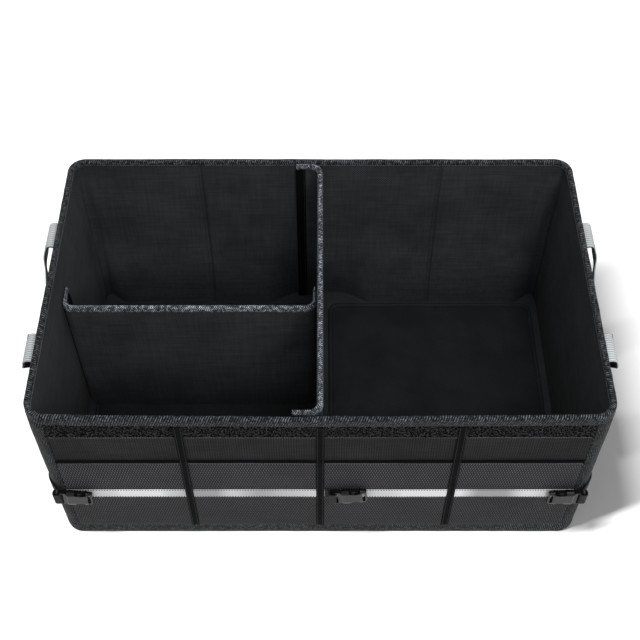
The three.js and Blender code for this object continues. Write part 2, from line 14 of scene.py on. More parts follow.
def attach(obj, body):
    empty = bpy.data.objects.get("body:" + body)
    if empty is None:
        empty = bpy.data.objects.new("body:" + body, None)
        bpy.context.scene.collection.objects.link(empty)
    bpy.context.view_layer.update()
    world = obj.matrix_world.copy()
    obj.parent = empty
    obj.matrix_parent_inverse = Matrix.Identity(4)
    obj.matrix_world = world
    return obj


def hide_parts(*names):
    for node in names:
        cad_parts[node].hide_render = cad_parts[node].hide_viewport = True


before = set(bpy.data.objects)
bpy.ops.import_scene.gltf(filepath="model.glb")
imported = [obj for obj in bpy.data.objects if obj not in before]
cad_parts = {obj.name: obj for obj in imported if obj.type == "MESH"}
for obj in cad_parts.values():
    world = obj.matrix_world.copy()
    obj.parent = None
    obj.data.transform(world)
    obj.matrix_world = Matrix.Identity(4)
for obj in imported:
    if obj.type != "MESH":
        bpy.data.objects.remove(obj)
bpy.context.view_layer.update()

MM = 0.001

# The box and its layers, as in the CAD model
HALF_WIDTH = 310.0
HALF_DEPTH = 188.0
HEIGHT = 262.0
CORNER_RADIUS = 20.0
CLEARANCE = 0.3
CLOTH = 0.9
WALL = 4.8
TAPE = 0.6
RIM_BOTTOM = 249.0
RIM_INNER_BOTTOM = 256.0
BASE_TOP = 20.0
SEAM_BOTTOM = BASE_TOP + CLEARANCE
SEAM_TOP = RIM_BOTTOM - CLEARANCE
FLOOR_TOP = 2.1
FOLD_PITCH = 150.0
CORNER_TAPE_HALF = 15.2

# How the cloth hangs: the rim's sag, rise and lean, the folds' pinch, and the slant at the lining's foot
RIM_SAG = 3.2
RIM_RISE = 1.8
RIM_LEAN = 0.45
OUTER_PINCH = 0.9
INNER_PINCH = 2.2
FOLD_SEAM = 2.7
FOOT_SLANT = 20.0

# Front face
BAND_HEIGHT = 24.0
BAND_THICKNESS = 1.2
HEM_TOP = 175.0
HEM_HEIGHT = 5.0
HEM_THICKNESS = 0.5
MESH_NEAR = 1.1
MESH_FAR = 1.7
RIBBON_BOTTOM = 93.0
RIBBON_TOP = 111.0
RIBBON_NEAR = 2.0
RIBBON_FAR = 2.4
STRIP_WIDTH = 9.0
STRIP_RAMP = 4.0
STRIP_OVER_NET = 2.0
STRIP_OVER_HEM = 2.8
STRIP_OVER_BAND = 1.8

# Base boards
BASE_BOARD_BOTTOM = 2.4
BASE_BOARD_TOP = 5.4
BASE_BOARD_MARGIN = 9.0
BASE_BOARD_BACK_MARGIN = 22.0
BASE_BOARD_RADIUS = 15.0
# Inset and rise of a board's upper side: a rounded rim, a sewn groove and the field
BASE_BOARD_PROFILE = [(0, -1.2), (0.35, -0.2), (1.3, 0.35), (3.4, 0.5), (4.2, 0.2), (4.8, -0.5), (5.4, -0.5)]
BASE_BOARD_PROFILE += [(6.0, 0.1), (7.5, 0.3), (14, 0.45)]

# Dividers
DIVIDER_HALF = 2.4
DIVIDER_FLAP = 27.0
DIVIDER_BEND = 11.0
FLAP_THICKNESS = 1.8
DIVIDER_TAPE_HEIGHT = 6.0
FLAP_TAPE_WIDTH = 11.0
HOOK = 1.2
HOOK_MARGIN = 10.0
LONG_TOP = 261.4
CROSS_TOP = 214.0
CROSS_Y = -6.0
LONG_BOTTOM = FLOOR_TOP + CLEARANCE
CROSS_BOTTOM = BASE_BOARD_TOP + CLEARANCE

# Handles
HANDLE_WIDTH = 38.0
HANDLE_THICKNESS = 1.4
HANDLE_BACKING = 1.0
HANDLE_CENTRE_Y = -8.0
HANDLE_HALF_SPAN = 82.0
HANDLE_STITCH_LENGTH = 26.0
HANDLE_STITCH_TOP = 243.0
HANDLE_FOLD_RADIUS = 7.0
HANDLE_DROP = 92.0
HANDLE_SAG = 15.0
HANDLE_TILT = 50.0
HANDLE_TWIST_START = 0.3
HANDLE_LEAN = 0.2
HANDLE_RIBS = 12
HANDLE_RIB_HEIGHT = 0.28
# Two points on a leg: out from the fold, in from the leg's end, and the share of the drop
HANDLE_LEG = [(4, 11, 0.17), (5, 29, 0.44)]

# Buckles
BUCKLE_STANDOFF = 8.0
BUCKLE_HEIGHT = 104.0
BUCKLE_BAR = 3.2
CORNER_BUCKLE_X = 302.0
CENTRE_BUCKLE_X = 12.5
LOOP_WIDTH = 20.0
LOOP_THICKNESS = 1.2
LOOP_PLAY = 2.0
LOOP_CORNER = 2.4
PLUG_BASE_THICKNESS = 5.4
CORNER_TAIL_END = 214
CORNER_TAIL_LEAD = (8.2, -12.1)
LOOP_RIBS = 8
LOOP_RIB_HEIGHT = 0.12

# Edges: a tape's rounded edge with the first step into it, and the angle that counts as sharp on CAD pieces
EDGE_WIDTH = 0.8
EDGE_STEP = 0.25
CAD_SHARP_ANGLE = 42

# The camera fitted to the photo, in metres, millimetres of lens and radians below level
CAMERA_PLACE = (-0.0002, -0.7842, 1.2243)
CAMERA_LENS = 61.32
CAMERA_DIP = 0.9267

INNER_HALF_WIDTH = HALF_WIDTH - WALL
INNER_HALF_DEPTH = HALF_DEPTH - WALL


# Numbers and noise


def smooth(value, low, high):
    """0 below low, 1 above high, and a smooth rise between them."""
    t = np.clip((np.asarray(value, float) - low) / (high - low), 0, 1)
    return t * t * (3 - 2 * t)


def ripple(x, y, z, wavelength, seed):
    """Smooth noise from about -1 to 1 at points in millimetres."""
    x, y, z = np.broadcast_arrays(x, y, z)
    shift = Vector((seed * 13.7, seed * 7.1, seed * 3.3))
    flat = np.stack([x.ravel(), y.ravel(), z.ravel()], 1) / wavelength
    values = [noise.noise(Vector(p) + shift) for p in flat]
    return np.array(values).reshape(x.shape) * 1.6


def spread(start, end, step):
    """Stations from start to end about a step apart, with a few close to both ends for a rounded edge."""
    count = max(2, int(round((end - start - 2 * EDGE_WIDTH) / step)) + 1)
    middle = np.linspace(start + EDGE_WIDTH, end - EDGE_WIDTH, count)
    return np.concatenate([[start, start + EDGE_STEP], middle, [end - EDGE_STEP, end]])


def edge_round(value, start, end):
    """The share of a tape's thickness near its two edges."""
    inwards = np.minimum(value - start, end - value)
    return 0.4 + 0.6 * np.sqrt(np.clip(inwards / EDGE_WIDTH, 0, 1))


def lengths(points):
    """Way along a line of points."""
    steps = np.linalg.norm(np.diff(points, axis=0), axis=1)
    return np.concatenate([[0], np.cumsum(steps)])


def ring(points):
    """A line of points with its first one again at the end."""
    return np.vstack([points, points[:1]])


def sample(points, way, marks):
    """Points at some marks on the way along a line."""
    return np.column_stack([np.interp(marks, way, points[:, k]) for k in range(3)])


def unit(vectors):
    """Vectors at length 1."""
    return vectors / np.linalg.norm(vectors, axis=1)[:, None]


# The outline of the box: a way s runs round it, from the middle of the front, counterclockwise from above

FRONT_HALF = HALF_WIDTH - CORNER_RADIUS
SIDE_LENGTH = 2 * (HALF_DEPTH - CORNER_RADIUS)
CORNER_LENGTH = CORNER_RADIUS * math.pi / 2
BACK_START = FRONT_HALF + 2 * CORNER_LENGTH + SIDE_LENGTH
PERIMETER = 4 * (FRONT_HALF + CORNER_LENGTH) + 2 * SIDE_LENGTH
BEND, SIDE = (CORNER_LENGTH, True), (SIDE_LENGTH, False)
LEGS = [(FRONT_HALF, False), BEND, SIDE, BEND, (2 * FRONT_HALF, False), BEND, SIDE, BEND, (FRONT_HALF, False)]
BACK_MIDDLE = BACK_START + FRONT_HALF
FRONT_FOLDS = [PERIMETER - FOLD_PITCH, 0.0, FOLD_PITCH]
BACK_FOLDS = [BACK_MIDDLE - FOLD_PITCH, BACK_MIDDLE, BACK_MIDDLE + FOLD_PITCH]
FOLDS = FRONT_FOLDS + BACK_FOLDS
CORNERS = {
    "front_right": FRONT_HALF + CORNER_LENGTH / 2,
    "back_right": BACK_START - CORNER_LENGTH / 2,
    "back_left": BACK_START + 2 * FRONT_HALF + CORNER_LENGTH / 2,
    "front_left": PERIMETER - FRONT_HALF - CORNER_LENGTH / 2,
}


def plan(s):
    """Plan position and outward normal at the way s along the outline."""
    s = np.mod(np.asarray(s, float), PERIMETER)
    x, y, nx, ny = (np.zeros_like(s) for _ in range(4))
    corner = np.array([0.0, -HALF_DEPTH])
    heading = 0.0
    done = 0.0
    for length, turns in LEGS:
        here = (s >= done - 1e-9) & (s <= done + length + 1e-9)
        t = s - done
        ahead = np.array([math.cos(heading), math.sin(heading)])
        if turns:
            centre = corner + CORNER_RADIUS * np.array([-ahead[1], ahead[0]])
            angle = heading - math.pi / 2 + t / CORNER_RADIUS
            px = centre[0] + CORNER_RADIUS * np.cos(angle)
            py = centre[1] + CORNER_RADIUS * np.sin(angle)
            x, y = np.where(here, px, x), np.where(here, py, y)
            nx, ny = np.where(here, np.cos(angle), nx), np.where(here, np.sin(angle), ny)
            heading += math.pi / 2
            last = heading - math.pi / 2
            corner = centre + CORNER_RADIUS * np.array([math.cos(last), math.sin(last)])
        else:
            x = np.where(here, corner[0] + ahead[0] * t, x)
            y = np.where(here, corner[1] + ahead[1] * t, y)
            nx, ny = np.where(here, ahead[1], nx), np.where(here, -ahead[0], ny)
            corner = corner + ahead * length
        done += length
    return x, y, nx, ny


def distance(s, marks):
    """Way from s to the nearest of some marks on the outline."""
    gaps = [np.abs(np.mod(s - mark + PERIMETER / 2, PERIMETER) - PERIMETER / 2) for mark in marks]
    return np.min(gaps, axis=0)


def dent(gap, width):
    """A smooth dent that is 1 in its middle."""
    return np.exp(-((gap / width) ** 2))


def swell(s, z):
    """How far the outer cloth stands out from the flat wall: slack over the boards, pinched at the folds."""
    x, y, _, _ = plan(s)
    held = smooth(z, 12, 45) * (1 - smooth(z, 215, 248))
    wide = ripple(x, y, z * 0.6, 95, 3)
    fine = ripple(x, y, z, 26, 9)
    return held * (0.45 + 0.42 * wide + 0.16 * fine) - OUTER_PINCH * dent(distance(s, FOLDS), 1.7)


def slack(s, z):
    """How far the lining stands into the box: slack, pinched at the folds and pulled in at the corners."""
    x, y, _, _ = plan(s)
    held = smooth(z, 8, 40) * (1 - smooth(z, 225, 248))
    wide = ripple(x, y, z * 0.7, 80, 5)
    fine = ripple(x, y, z, 22, 11)
    free = (y > 0) * smooth(np.abs(x), 30, 75) * smooth(HALF_WIDTH - np.abs(x), 6, 40)
    foot = FOOT_SLANT * free * np.clip(1 - z / 110, 0, 1) ** 1.8
    apart = distance(s, list(CORNERS.values()))
    corner = 3.0 * dent(apart - 17, 7) * smooth(HEIGHT - z, 14, 60) - 1.9 * dent(apart, 6)
    crease = INNER_PINCH * dent(distance(s, FOLDS), 2.0)
    return held * (0.5 + 0.5 * wide + 0.2 * fine) - crease + foot + corner * smooth(z, 4, 20)


def sag(s):
    """How far the rim drops: the cloth hangs a little between the corners, most of all in front."""
    x, y, _, _ = plan(s)
    front = (y < 0) * np.cos(np.clip(x / HALF_WIDTH, -1, 1) * math.pi / 2) ** 0.8
    corner = smooth(np.abs(x), 285, 305) * smooth(np.abs(y), 150, 180) * (y < 0)
    return RIM_SAG * front - RIM_RISE * corner + 0.5 * ripple(x, y, 0 * x, 70, 27)


def wall_point(s, z, offset):
    """A point at a distance out from the wall's flat face, with the rim's sag and lean."""
    x, y, nx, ny = plan(s)
    drop = sag(s)
    x, y, z, nx, ny, offset, drop = np.broadcast_arrays(x, y, z, nx, ny, offset, drop)
    offset = offset + RIM_LEAN * drop * smooth(z, 240, HEIGHT)
    return np.stack([x + nx * offset, y + ny * offset, z - drop * smooth(z, 205, HEIGHT)], -1)


def outer_point(s, z, offset):
    """A point at a distance out from the outer cloth."""
    return wall_point(s, z, offset + swell(s, z))


def inner_point(s, z, depth=0.0):
    """A point on the lining, or a depth in front of it."""
    return wall_point(s, z, -WALL - depth - slack(s, z))


def around(step=7.0):
    """Ways round the whole outline, closer together at the corners and the folds."""
    marks = [0.0]
    done = 0.0
    for length, turns in LEGS:
        count = 10 if turns else int(length / step)
        marks.extend(done + np.linspace(0, length, count + 1)[1:])
        done += length
    for fold in FOLDS:
        marks.extend(np.mod(fold + d, PERIMETER) for d in (-5, -3.2, -2, -1, 0, 1, 2, 3.2, 5))
    marks = np.unique(np.round(np.array(marks), 3))
    marks = marks[marks < PERIMETER - 0.3]
    keep = [marks[0]]
    for mark in marks[1:]:
        if mark - keep[-1] > 0.6:
            keep.append(mark)
    return np.array(keep)


# Meshes


class Shape:
    """Points, faces and face-corner UVs of one piece. UVs are lengths on the cloth, in metres."""

    def __init__(self):
        self.points = []
        self.faces = []
        self.uvs = []

    def grid(self, points, u, v, wrap_rows=False, wrap_columns=False):
        """Quads over rows and columns of points; u runs with the rows and v with the columns."""
        rows, columns, _ = points.shape
        start = len(self.points)
        self.points.extend(map(tuple, points.reshape(-1, 3)))
        index = start + np.arange(rows * columns).reshape(rows, columns)
        if wrap_rows:
            index = np.concatenate([index, index[:1]], 0)
        if wrap_columns:
            index = np.concatenate([index, index[:, :1]], 1)
        self.quads(index, np.asarray(u, float), np.asarray(v, float))
        return index

    def quads(self, index, u, v):
        """Quads over a grid of point numbers."""
        a, b = index[:-1, :-1], index[1:, :-1]
        c, d = index[1:, 1:], index[:-1, 1:]
        self.faces.extend(np.stack([a, b, c, d], -1).reshape(-1, 4).tolist())
        uu, vv = np.meshgrid(u, v, indexing="ij")
        uv = np.stack([uu, vv], -1) * MM
        corners = np.stack([uv[:-1, :-1], uv[1:, :-1], uv[1:, 1:], uv[:-1, 1:]], -2)
        self.uvs.extend(corners.reshape(-1, 2).tolist())

    def slab(self, front, back, u, v):
        """A closed sheet between two grids of the same size."""
        a, b = self.grid(front, u, v), self.grid(back, u, v)
        across = np.array([0.0, 1.0])
        for end in (0, -1):
            self.quads(np.stack([a[:, end], b[:, end]], 1), u, v[end] + across)
        for end in (0, -1):
            self.quads(np.stack([a[end], b[end]], 0), u[end] + across, v)

    def fan(self, corners):
        """One flat face with plan UVs, over the numbers of its points."""
        self.faces.append([int(i) for i in corners])
        self.uvs.extend([(self.points[i][0] * MM, self.points[i][1] * MM) for i in corners])

    def tube(self, points, way, section, wrap=False):
        """Quads round a section along a way, with a flat face at both ends unless the way is closed."""
        index = self.grid(points, way, lengths(ring(section)), wrap_rows=wrap, wrap_columns=True)
        if not wrap:
            self.fan(index[0, :-1])
            self.fan(index[-1, :-1])


def make(name, shape, look, node=None, sharp=50):
    """The object of one piece, in place of a CAD node if one is named."""
    mesh = bpy.data.meshes.new(name)
    mesh.from_pydata([(x * MM, y * MM, z * MM) for x, y, z in shape.points], [], shape.faces)
    mesh.uv_layers.new(name="UVMap").data.foreach_set("uv", np.array(shape.uvs, float).ravel())
    mesh.materials.append(looks[look])
    work = bmesh.new()
    work.from_mesh(mesh)
    bmesh.ops.recalc_face_normals(work, faces=work.faces)
    work.to_mesh(mesh)
    work.free()
    smooth_faces(mesh, sharp)
    obj = bpy.data.objects.new(name, mesh)
    bpy.context.scene.collection.objects.link(obj)
    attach(obj, "organizer")
    if node:
        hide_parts(node)
    return obj


def smooth_faces(mesh, sharp):
    """Smooth shading, with edges sharper than an angle left hard."""
    mesh.polygons.foreach_set("use_smooth", [True] * len(mesh.polygons))
    mesh.set_sharp_from_angle(angle=math.radians(sharp))


# Materials


def fill(node, values):
    """Sets inputs of a node by their names."""
    for name, value in values.items():
        node.inputs[name].default_value = value


class Look:
    """A small helper that builds one node material."""

    def __init__(self, name):
        self.material = bpy.data.materials.new(name)
        self.material.use_nodes = True
        self.tree = self.material.node_tree
        self.shader = self.tree.nodes["Principled BSDF"]

    def node(self, kind, **settings):
        """A new node with some of its settings."""
        made = self.tree.nodes.new(kind)
        for key, value in settings.items():
            setattr(made, key, value)
        return made

    def link(self, source, target):
        """Joins an output to an input."""
        self.tree.links.new(source, target)

    def math(self, operation, *values):
        """The result of a calculation on numbers or other nodes' outputs."""
        made = self.node("ShaderNodeMath", operation=operation)
        for socket, value in zip(made.inputs, values):
            if isinstance(value, (int, float)):
                socket.default_value = value
            else:
                self.link(value, socket)
        return made.outputs[0]

    def wave(self, kind, value, pitch):
        """A sine or cosine over a length, with half a turn in each pitch."""
        return self.math(kind, self.math("MULTIPLY", value, math.pi / pitch))

    def ribs(self, value, pitch):
        """Rounded ribs over a length."""
        return self.math("ABSOLUTE", self.wave("SINE", value, pitch))

    def split(self, place):
        """The parts of a position."""
        made = self.node("ShaderNodeSeparateXYZ")
        self.link(place, made.inputs[0])
        return made.outputs

    def uv(self):
        """Lengths along and across the cloth, in metres."""
        return self.split(self.node("ShaderNodeUVMap", uv_map="UVMap").outputs[0])[:2]

    def height(self):
        """Height over the floor, in metres."""
        return self.split(self.node("ShaderNodeTexCoord").outputs["Object"])[2]

    def noise(self, scale, detail=3.0, roughness=0.55, stretch=None):
        """Even noise over the object, finer in one direction if stretched."""
        made = self.node("ShaderNodeTexNoise")
        fill(made, {"Scale": scale, "Detail": detail, "Roughness": roughness})
        place = self.node("ShaderNodeTexCoord").outputs["Object"]
        if stretch:
            mapping = self.node("ShaderNodeMapping")
            mapping.inputs["Scale"].default_value = stretch
            self.link(place, mapping.inputs[0])
            place = mapping.outputs[0]
        self.link(place, made.inputs["Vector"])
        return made.outputs["Fac"]

    def ramp(self, factor, low, high, start=0.3, end=0.7):
        """A colour that runs from low to high as the factor runs from start to end."""
        made = self.node("ShaderNodeValToRGB")
        first, last = made.color_ramp.elements
        first.position, first.color = start, (*low, 1)
        last.position, last.color = end, (*high, 1)
        self.link(factor, made.inputs[0])
        return made.outputs[0]

    def shade(self, factor, low, high, start=0.3, end=0.7):
        """A grey that runs from low to high, to multiply a colour with."""
        return self.ramp(factor, grey(low), grey(high), start, end)

    def mix(self, factor, a, b, blend="MIX"):
        """Two colours blended by a factor."""
        made = self.node("ShaderNodeMix", data_type="RGBA", blend_type=blend)
        for socket, value in zip((made.inputs[0], made.inputs[6], made.inputs[7]), (factor, a, b)):
            if isinstance(value, (int, float)):
                socket.default_value = value
            elif isinstance(value, tuple):
                socket.default_value = (*value, 1)
            else:
                self.link(value, socket)
        return made.outputs[2]

    def times(self, *colours):
        """The product of some colours."""
        product = colours[0]
        for colour in colours[1:]:
            product = self.mix(1.0, product, colour, "MULTIPLY")
        return product

    def span(self, factor, low, high):
        """A factor from 0 to 1 made to run from low to high."""
        made = self.node("ShaderNodeMapRange")
        fill(made, {"To Min": low, "To Max": high})
        self.link(factor, made.inputs[0])
        return made.outputs[0]

    def span_signed(self, value):
        """A value from -1 to 1 made to run from 0 to 1."""
        return self.math("MULTIPLY_ADD", value, 0.5, 0.5)

    def step(self, factor, start, end):
        """A smooth rise from 0 to 1 while the factor runs from start to end."""
        made = self.node("ShaderNodeMapRange", interpolation_type="SMOOTHSTEP")
        fill(made, {"From Min": start, "From Max": end})
        self.link(factor, made.inputs[0])
        return made.outputs[0]

    def bump(self, height, distance, strength=1.0, below=None):
        """Normals that follow a height, on top of those of another bump if given."""
        made = self.node("ShaderNodeBump")
        fill(made, {"Distance": distance, "Strength": strength})
        self.link(height, made.inputs["Height"])
        if below is not None:
            self.link(below, made.inputs["Normal"])
        return made.outputs[0]

    def weave(self, pitch_u, pitch_v):
        """A plain weave: a signed wave whose sign tells which thread is on top."""
        u, v = self.uv()
        return self.math("MULTIPLY", self.wave("SINE", u, pitch_u), self.wave("SINE", v, pitch_v))

    def done(self, colour, roughness, normal, sheen=0.0, specular=0.5, metallic=0.0, coat=0.0):
        """The finished material."""
        for name, source in (("Base Color", colour), ("Roughness", roughness), ("Normal", normal)):
            self.link(source, self.shader.inputs[name])
        fill(self.shader, {"Sheen Weight": sheen, "Sheen Roughness": 0.4, "Specular IOR Level": specular})
        fill(self.shader, {"Metallic": metallic, "Coat Weight": coat, "Coat Roughness": 0.12})
        return self.material


def grey(value, tint=(1.0, 1.0, 1.0)):
    """A grey with a slight tint."""
    return tuple(value * t for t in tint)


def woven(name, tone, tint, pitch, cord=0, foot=1.0, **finish):
    """Plain woven cloth with uneven threads and faint clouds. It may have upright cords, and painted shade that
    darkens it towards the floor.
    """
    look = Look(name)
    weave = look.weave(*pitch)
    threads = look.ramp(look.span_signed(weave), grey(tone * 0.6, tint), grey(tone * 1.4, tint), 0.1, 0.9)
    clouds = look.shade(look.noise(18, 4), 0.8, 1.15, 0.35, 0.68)
    warp = look.shade(look.noise(420, 2, stretch=(1, 1, 0.05)), 0.9, 1.1, 0.35, 0.65)
    weft = look.shade(look.noise(420, 2, stretch=(0.05, 0.05, 1)), 0.88, 1.14, 0.35, 0.65)
    colour = look.times(threads, clouds, warp, weft)
    if cord:
        across = look.math("ADD", look.uv()[0], look.math("MULTIPLY", look.noise(60, 2), 0.002))
        colour = look.times(colour, look.shade(look.ribs(across, cord), 0.55, 1.3, 0.2, 0.95))
    # Painted shade: the cloth darkens towards the floor, below about 90 mm.
    if foot < 1:
        colour = look.times(colour, look.ramp(look.height(), grey(foot), grey(1.0), 0.02, 0.09))
    roughness = look.span(look.noise(45, 3), 0.62, 0.78)
    fuzz = look.bump(look.noise(900, 2), 0.00015, 0.35)
    normal = look.bump(look.math("ABSOLUTE", weave), 0.00012, 0.9, fuzz)
    return look.done(colour, roughness, normal, **finish)


def ribbed(name, tone, tint, rib, pick, depth=0.0003, **finish):
    """Webbing: ribs along its length, crossed by fine picks."""
    look = Look(name)
    u, v = look.uv()
    ribs = look.ribs(v, rib)
    lean = look.math("ADD", look.math("MULTIPLY", u, math.pi / pick), look.math("MULTIPLY", ribs, 1.2))
    picks = look.math("ABSOLUTE", look.math("SINE", lean))
    height = look.math("ADD", look.math("MULTIPLY", ribs, 0.7), look.math("MULTIPLY", picks, 0.3))
    colour = look.ramp(height, grey(tone * 0.35, tint), grey(tone * 1.2, tint), 0.15, 0.8)
    colour = look.times(colour, look.shade(look.noise(30, 4), 0.86, 1.08, 0.3, 0.7))
    roughness = look.span(look.noise(80, 3), 0.5, 0.68)
    fuzz = look.bump(look.noise(1200, 2), 0.00012, 0.3)
    return look.done(colour, roughness, look.bump(height, depth, 0.8, fuzz), **finish)


def twill(name, tone, pitch, turn, lean):
    """Binding tape: a zigzag twill whose slanting threads stand out, unevenly worn."""
    look = Look(name)
    u, v = look.uv()
    zigzag = look.math("MULTIPLY", look.math("PINGPONG", v, turn), lean)
    wobble = look.math("MULTIPLY", look.noise(150, 2), 0.002)
    way = look.math("ADD", look.math("SUBTRACT", u, zigzag), wobble)
    ridge = look.ribs(way, pitch)
    colour = look.ramp(ridge, grey(tone * 0.12, BLACK), grey(tone * 5.0, BLACK), 0.55, 1.0)
    worn = look.shade(look.noise(300, 3, 0.6), 0.3, 2.6, 0.42, 0.66)
    patches = look.shade(look.noise(45, 3), 0.75, 1.2, 0.35, 0.7)
    colour = look.times(colour, worn, patches)
    roughness = look.span(look.noise(90, 3), 0.6, 0.8)
    fuzz = look.bump(look.noise(900, 2), 0.0003, 0.5)
    normal = look.bump(ridge, 0.0004, 0.8, fuzz)
    return look.done(colour, roughness, normal, sheen=0.03, specular=0.08)


def fuzzy(name, tone, tint):
    """The pile of hook-and-loop tape."""
    look = Look(name)
    pile = look.noise(560, 2, 0.5)
    tufts = look.noise(220, 3, 0.6)
    colour = look.ramp(pile, grey(tone * 0.2, tint), grey(tone * 8.0, tint), 0.46, 0.72)
    colour = look.times(colour, look.shade(tufts, 0.75, 1.15))
    roughness = look.span(look.noise(300, 2), 0.85, 1.0)
    normal = look.bump(pile, 0.0006, 0.9, look.bump(tufts, 0.0008, 0.5))
    return look.done(colour, roughness, normal, specular=0.015)


def netting(name):
    """Knitted mesh with rows of small oval holes, staggered, darkened towards its bottom with painted shade."""
    look = Look(name)
    u, v = look.uv()
    holes = look.math("MULTIPLY", look.wave("COSINE", u, 0.0015), look.wave("COSINE", v, 0.0044))
    holes = look.span_signed(holes)
    thread = look.ramp(look.noise(1500, 2), (0.056, 0.053, 0.062), (0.108, 0.102, 0.118))
    colour = look.mix(look.step(holes, 0.27, 0.46), thread, (0.0020, 0.0020, 0.0024))
    clouds = look.shade(look.noise(14, 3), 0.75, 1.2)
    # Painted shade, not slack: the net darkens towards its bottom.
    slack = look.shade(v, 0.56, 1.05, 0.02, 0.13)
    colour = look.times(colour, clouds, slack)
    roughness = look.span(look.noise(120, 2), 0.6, 0.78)
    normal = look.bump(look.math("SUBTRACT", 1.0, holes), 0.0004, 0.8)
    return look.done(colour, roughness, normal, sheen=0.05, specular=0.12)


def reflective(name):
    """Silver reflective ribbon with a fine grid of cells."""
    look = Look(name)
    u, v = look.uv()
    cells = look.math("MULTIPLY", look.ribs(u, 0.0016), look.ribs(v, 0.0016))
    colour = look.ramp(cells, (0.55, 0.55, 0.57), (0.76, 0.76, 0.78), 0.0, 0.8)
    # Painted reflections: bright and dark bands along the ribbon's length.
    painted_reflections = look.noise(12, 1, 0.3, stretch=(1, 0.02, 0.02))
    colour = look.times(colour, look.shade(painted_reflections, 0.5, 1.2, 0.42, 0.56))
    roughness = look.span(look.noise(40, 3), 0.34, 0.5)
    normal = look.bump(cells, 0.00008, 0.7)
    return look.done(colour, roughness, normal, metallic=0.2, specular=0.3)


def plastic(name):
    """Glossy moulded plastic with the faintest grain and light scuffs."""
    look = Look(name)
    colour = look.ramp(look.noise(160, 4), (0.003, 0.003, 0.0034), (0.006, 0.006, 0.0066))
    roughness = look.span(look.noise(90, 2), 0.15, 0.17)
    grain = look.bump(look.noise(2600, 3), 0.00001, 0.1)
    normal = look.bump(look.noise(60, 1), 0.0001, 0.08, grain)
    return look.done(colour, roughness, normal, specular=0.16, coat=0.08)


def hardboard(name):
    """Pressed fibre board, hidden in the walls and dividers."""
    look = Look(name)
    fibres = look.noise(420, 6, 0.7, stretch=(1, 1, 0.35))
    colour = look.ramp(fibres, (0.10, 0.072, 0.045), (0.22, 0.165, 0.11), 0.3, 0.75)
    roughness = look.span(look.noise(90, 3), 0.7, 0.9)
    normal = look.bump(fibres, 0.0004, 0.6)
    return look.done(colour, roughness, normal, specular=0.3)


BLACK = (0.92, 1.0, 1.10)
WARM_BLACK = (1.0, 0.98, 1.03)
THREAD_WEAVE = (0.0005, 0.0005)
looks = {
    "cloth": woven("outer_cloth", 0.0168, WARM_BLACK, (0.0012, 0.0030), cord=0.0027, specular=0.06),
    # The lining's foot is darkened with painted shade near the floor, on the walls and on the divider sleeves.
    "lining": woven("lining_cloth", 0.0325, BLACK, (0.0017, 0.0017), foot=0.55, sheen=0.02, specular=0.06),
    "binding": twill("woven_binding", 0.0130, 0.0027, 0.02, 0.35),
    "corner": twill("corner_binding", 0.0070, 0.0027, 0.02, 0.35),
    "divider_binding": twill("divider_binding", 0.047, 0.0025, 0.0036, 0.8),
    "strip": ribbed("strip_tape", 0.0042, BLACK, 0.0012, 0.0015, depth=0.0002, specular=0.015),
    "loop": fuzzy("loop_pile", 0.0085, (1.0, 0.98, 1.04)),
    "mesh": netting("pocket_net"),
    "reflective": reflective("reflective_ribbon"),
    "strap": ribbed("grey_webbing", 0.47, (0.93, 0.98, 1.0), 0.0031, 0.0013, sheen=0.05),
    "backing": woven("handle_backing", 0.014, BLACK, (0.0012, 0.0012), sheen=0.03, specular=0.10),
    "black_webbing": ribbed("black_webbing", 0.010, BLACK, 0.0022, 0.0012, sheen=0.03, specular=0.12),
    "base_board": woven("board_cover", 0.0098, BLACK, (0.0019, 0.0019), sheen=0.02, specular=0.06),
    "thread": woven("sewing_thread", 0.034, BLACK, THREAD_WEAVE, specular=0.3),
    "light_thread": woven("light_thread", 0.13, BLACK, THREAD_WEAVE, specular=0.3),
    "dark_thread": woven("dark_thread", 0.004, BLACK, THREAD_WEAVE, specular=0.2),
    "plastic": plastic("buckle_plastic"),
    "board": hardboard("stiffener_board"),
}

# The two cloth boxes


def cloth_box(name, outer, inner, floor_low, floor_high, look, node):
    """A box of cloth, open at the top. Its outer and inner walls are functions of a way and a height."""
    ways = around()
    foot = np.linspace(0, 1, 9) ** 1.6
    upper = np.linspace(27, HEIGHT, 36)
    heights = np.concatenate([floor_low + (BASE_TOP - floor_low) * foot, upper])
    inside = np.concatenate([floor_high + (BASE_TOP - FLOOR_TOP) * foot, upper])
    u = np.append(ways, PERIMETER)
    shape = Shape()
    a = shape.grid(outer(*np.meshgrid(ways, heights, indexing="ij")), u, heights, wrap_rows=True)
    b = shape.grid(inner(*np.meshgrid(ways, inside, indexing="ij")), u, inside, wrap_rows=True)
    shape.quads(np.stack([a[:, -1], b[:, -1]], 1), u, np.array([HEIGHT, HEIGHT + CLOTH]))
    shape.fan(a[:-1, 0])
    shape.fan(b[:-1, 0])
    make(name, shape, look, node)


def outer_cloth(depth):
    """The outer box at a depth under its face, as a function of a way and a height."""
    return lambda s, z: outer_point(s, z, -depth)


def lining_cloth(depth):
    """The lining at a depth under its face."""
    return lambda s, z: inner_point(s, z, -depth)


LINING_BOTTOM = CLOTH + CLEARANCE
cloth_box("outer_cloth", outer_cloth(0), outer_cloth(CLOTH), 0.0, CLOTH, "cloth", "outer_shell")
cloth_box("lining_cloth", lining_cloth(CLOTH), lining_cloth(0), LINING_BOTTOM, FLOOR_TOP, "lining", "lining")

# Bindings that run all the way round


def arc_points(centre_a, centre_b, radius, start, end, steps):
    """Points on an arc, with the angles in degrees."""
    angles = np.radians(np.linspace(start, end, steps + 1))
    return [(centre_a + radius * math.cos(a), centre_b + radius * math.sin(a)) for a in angles]


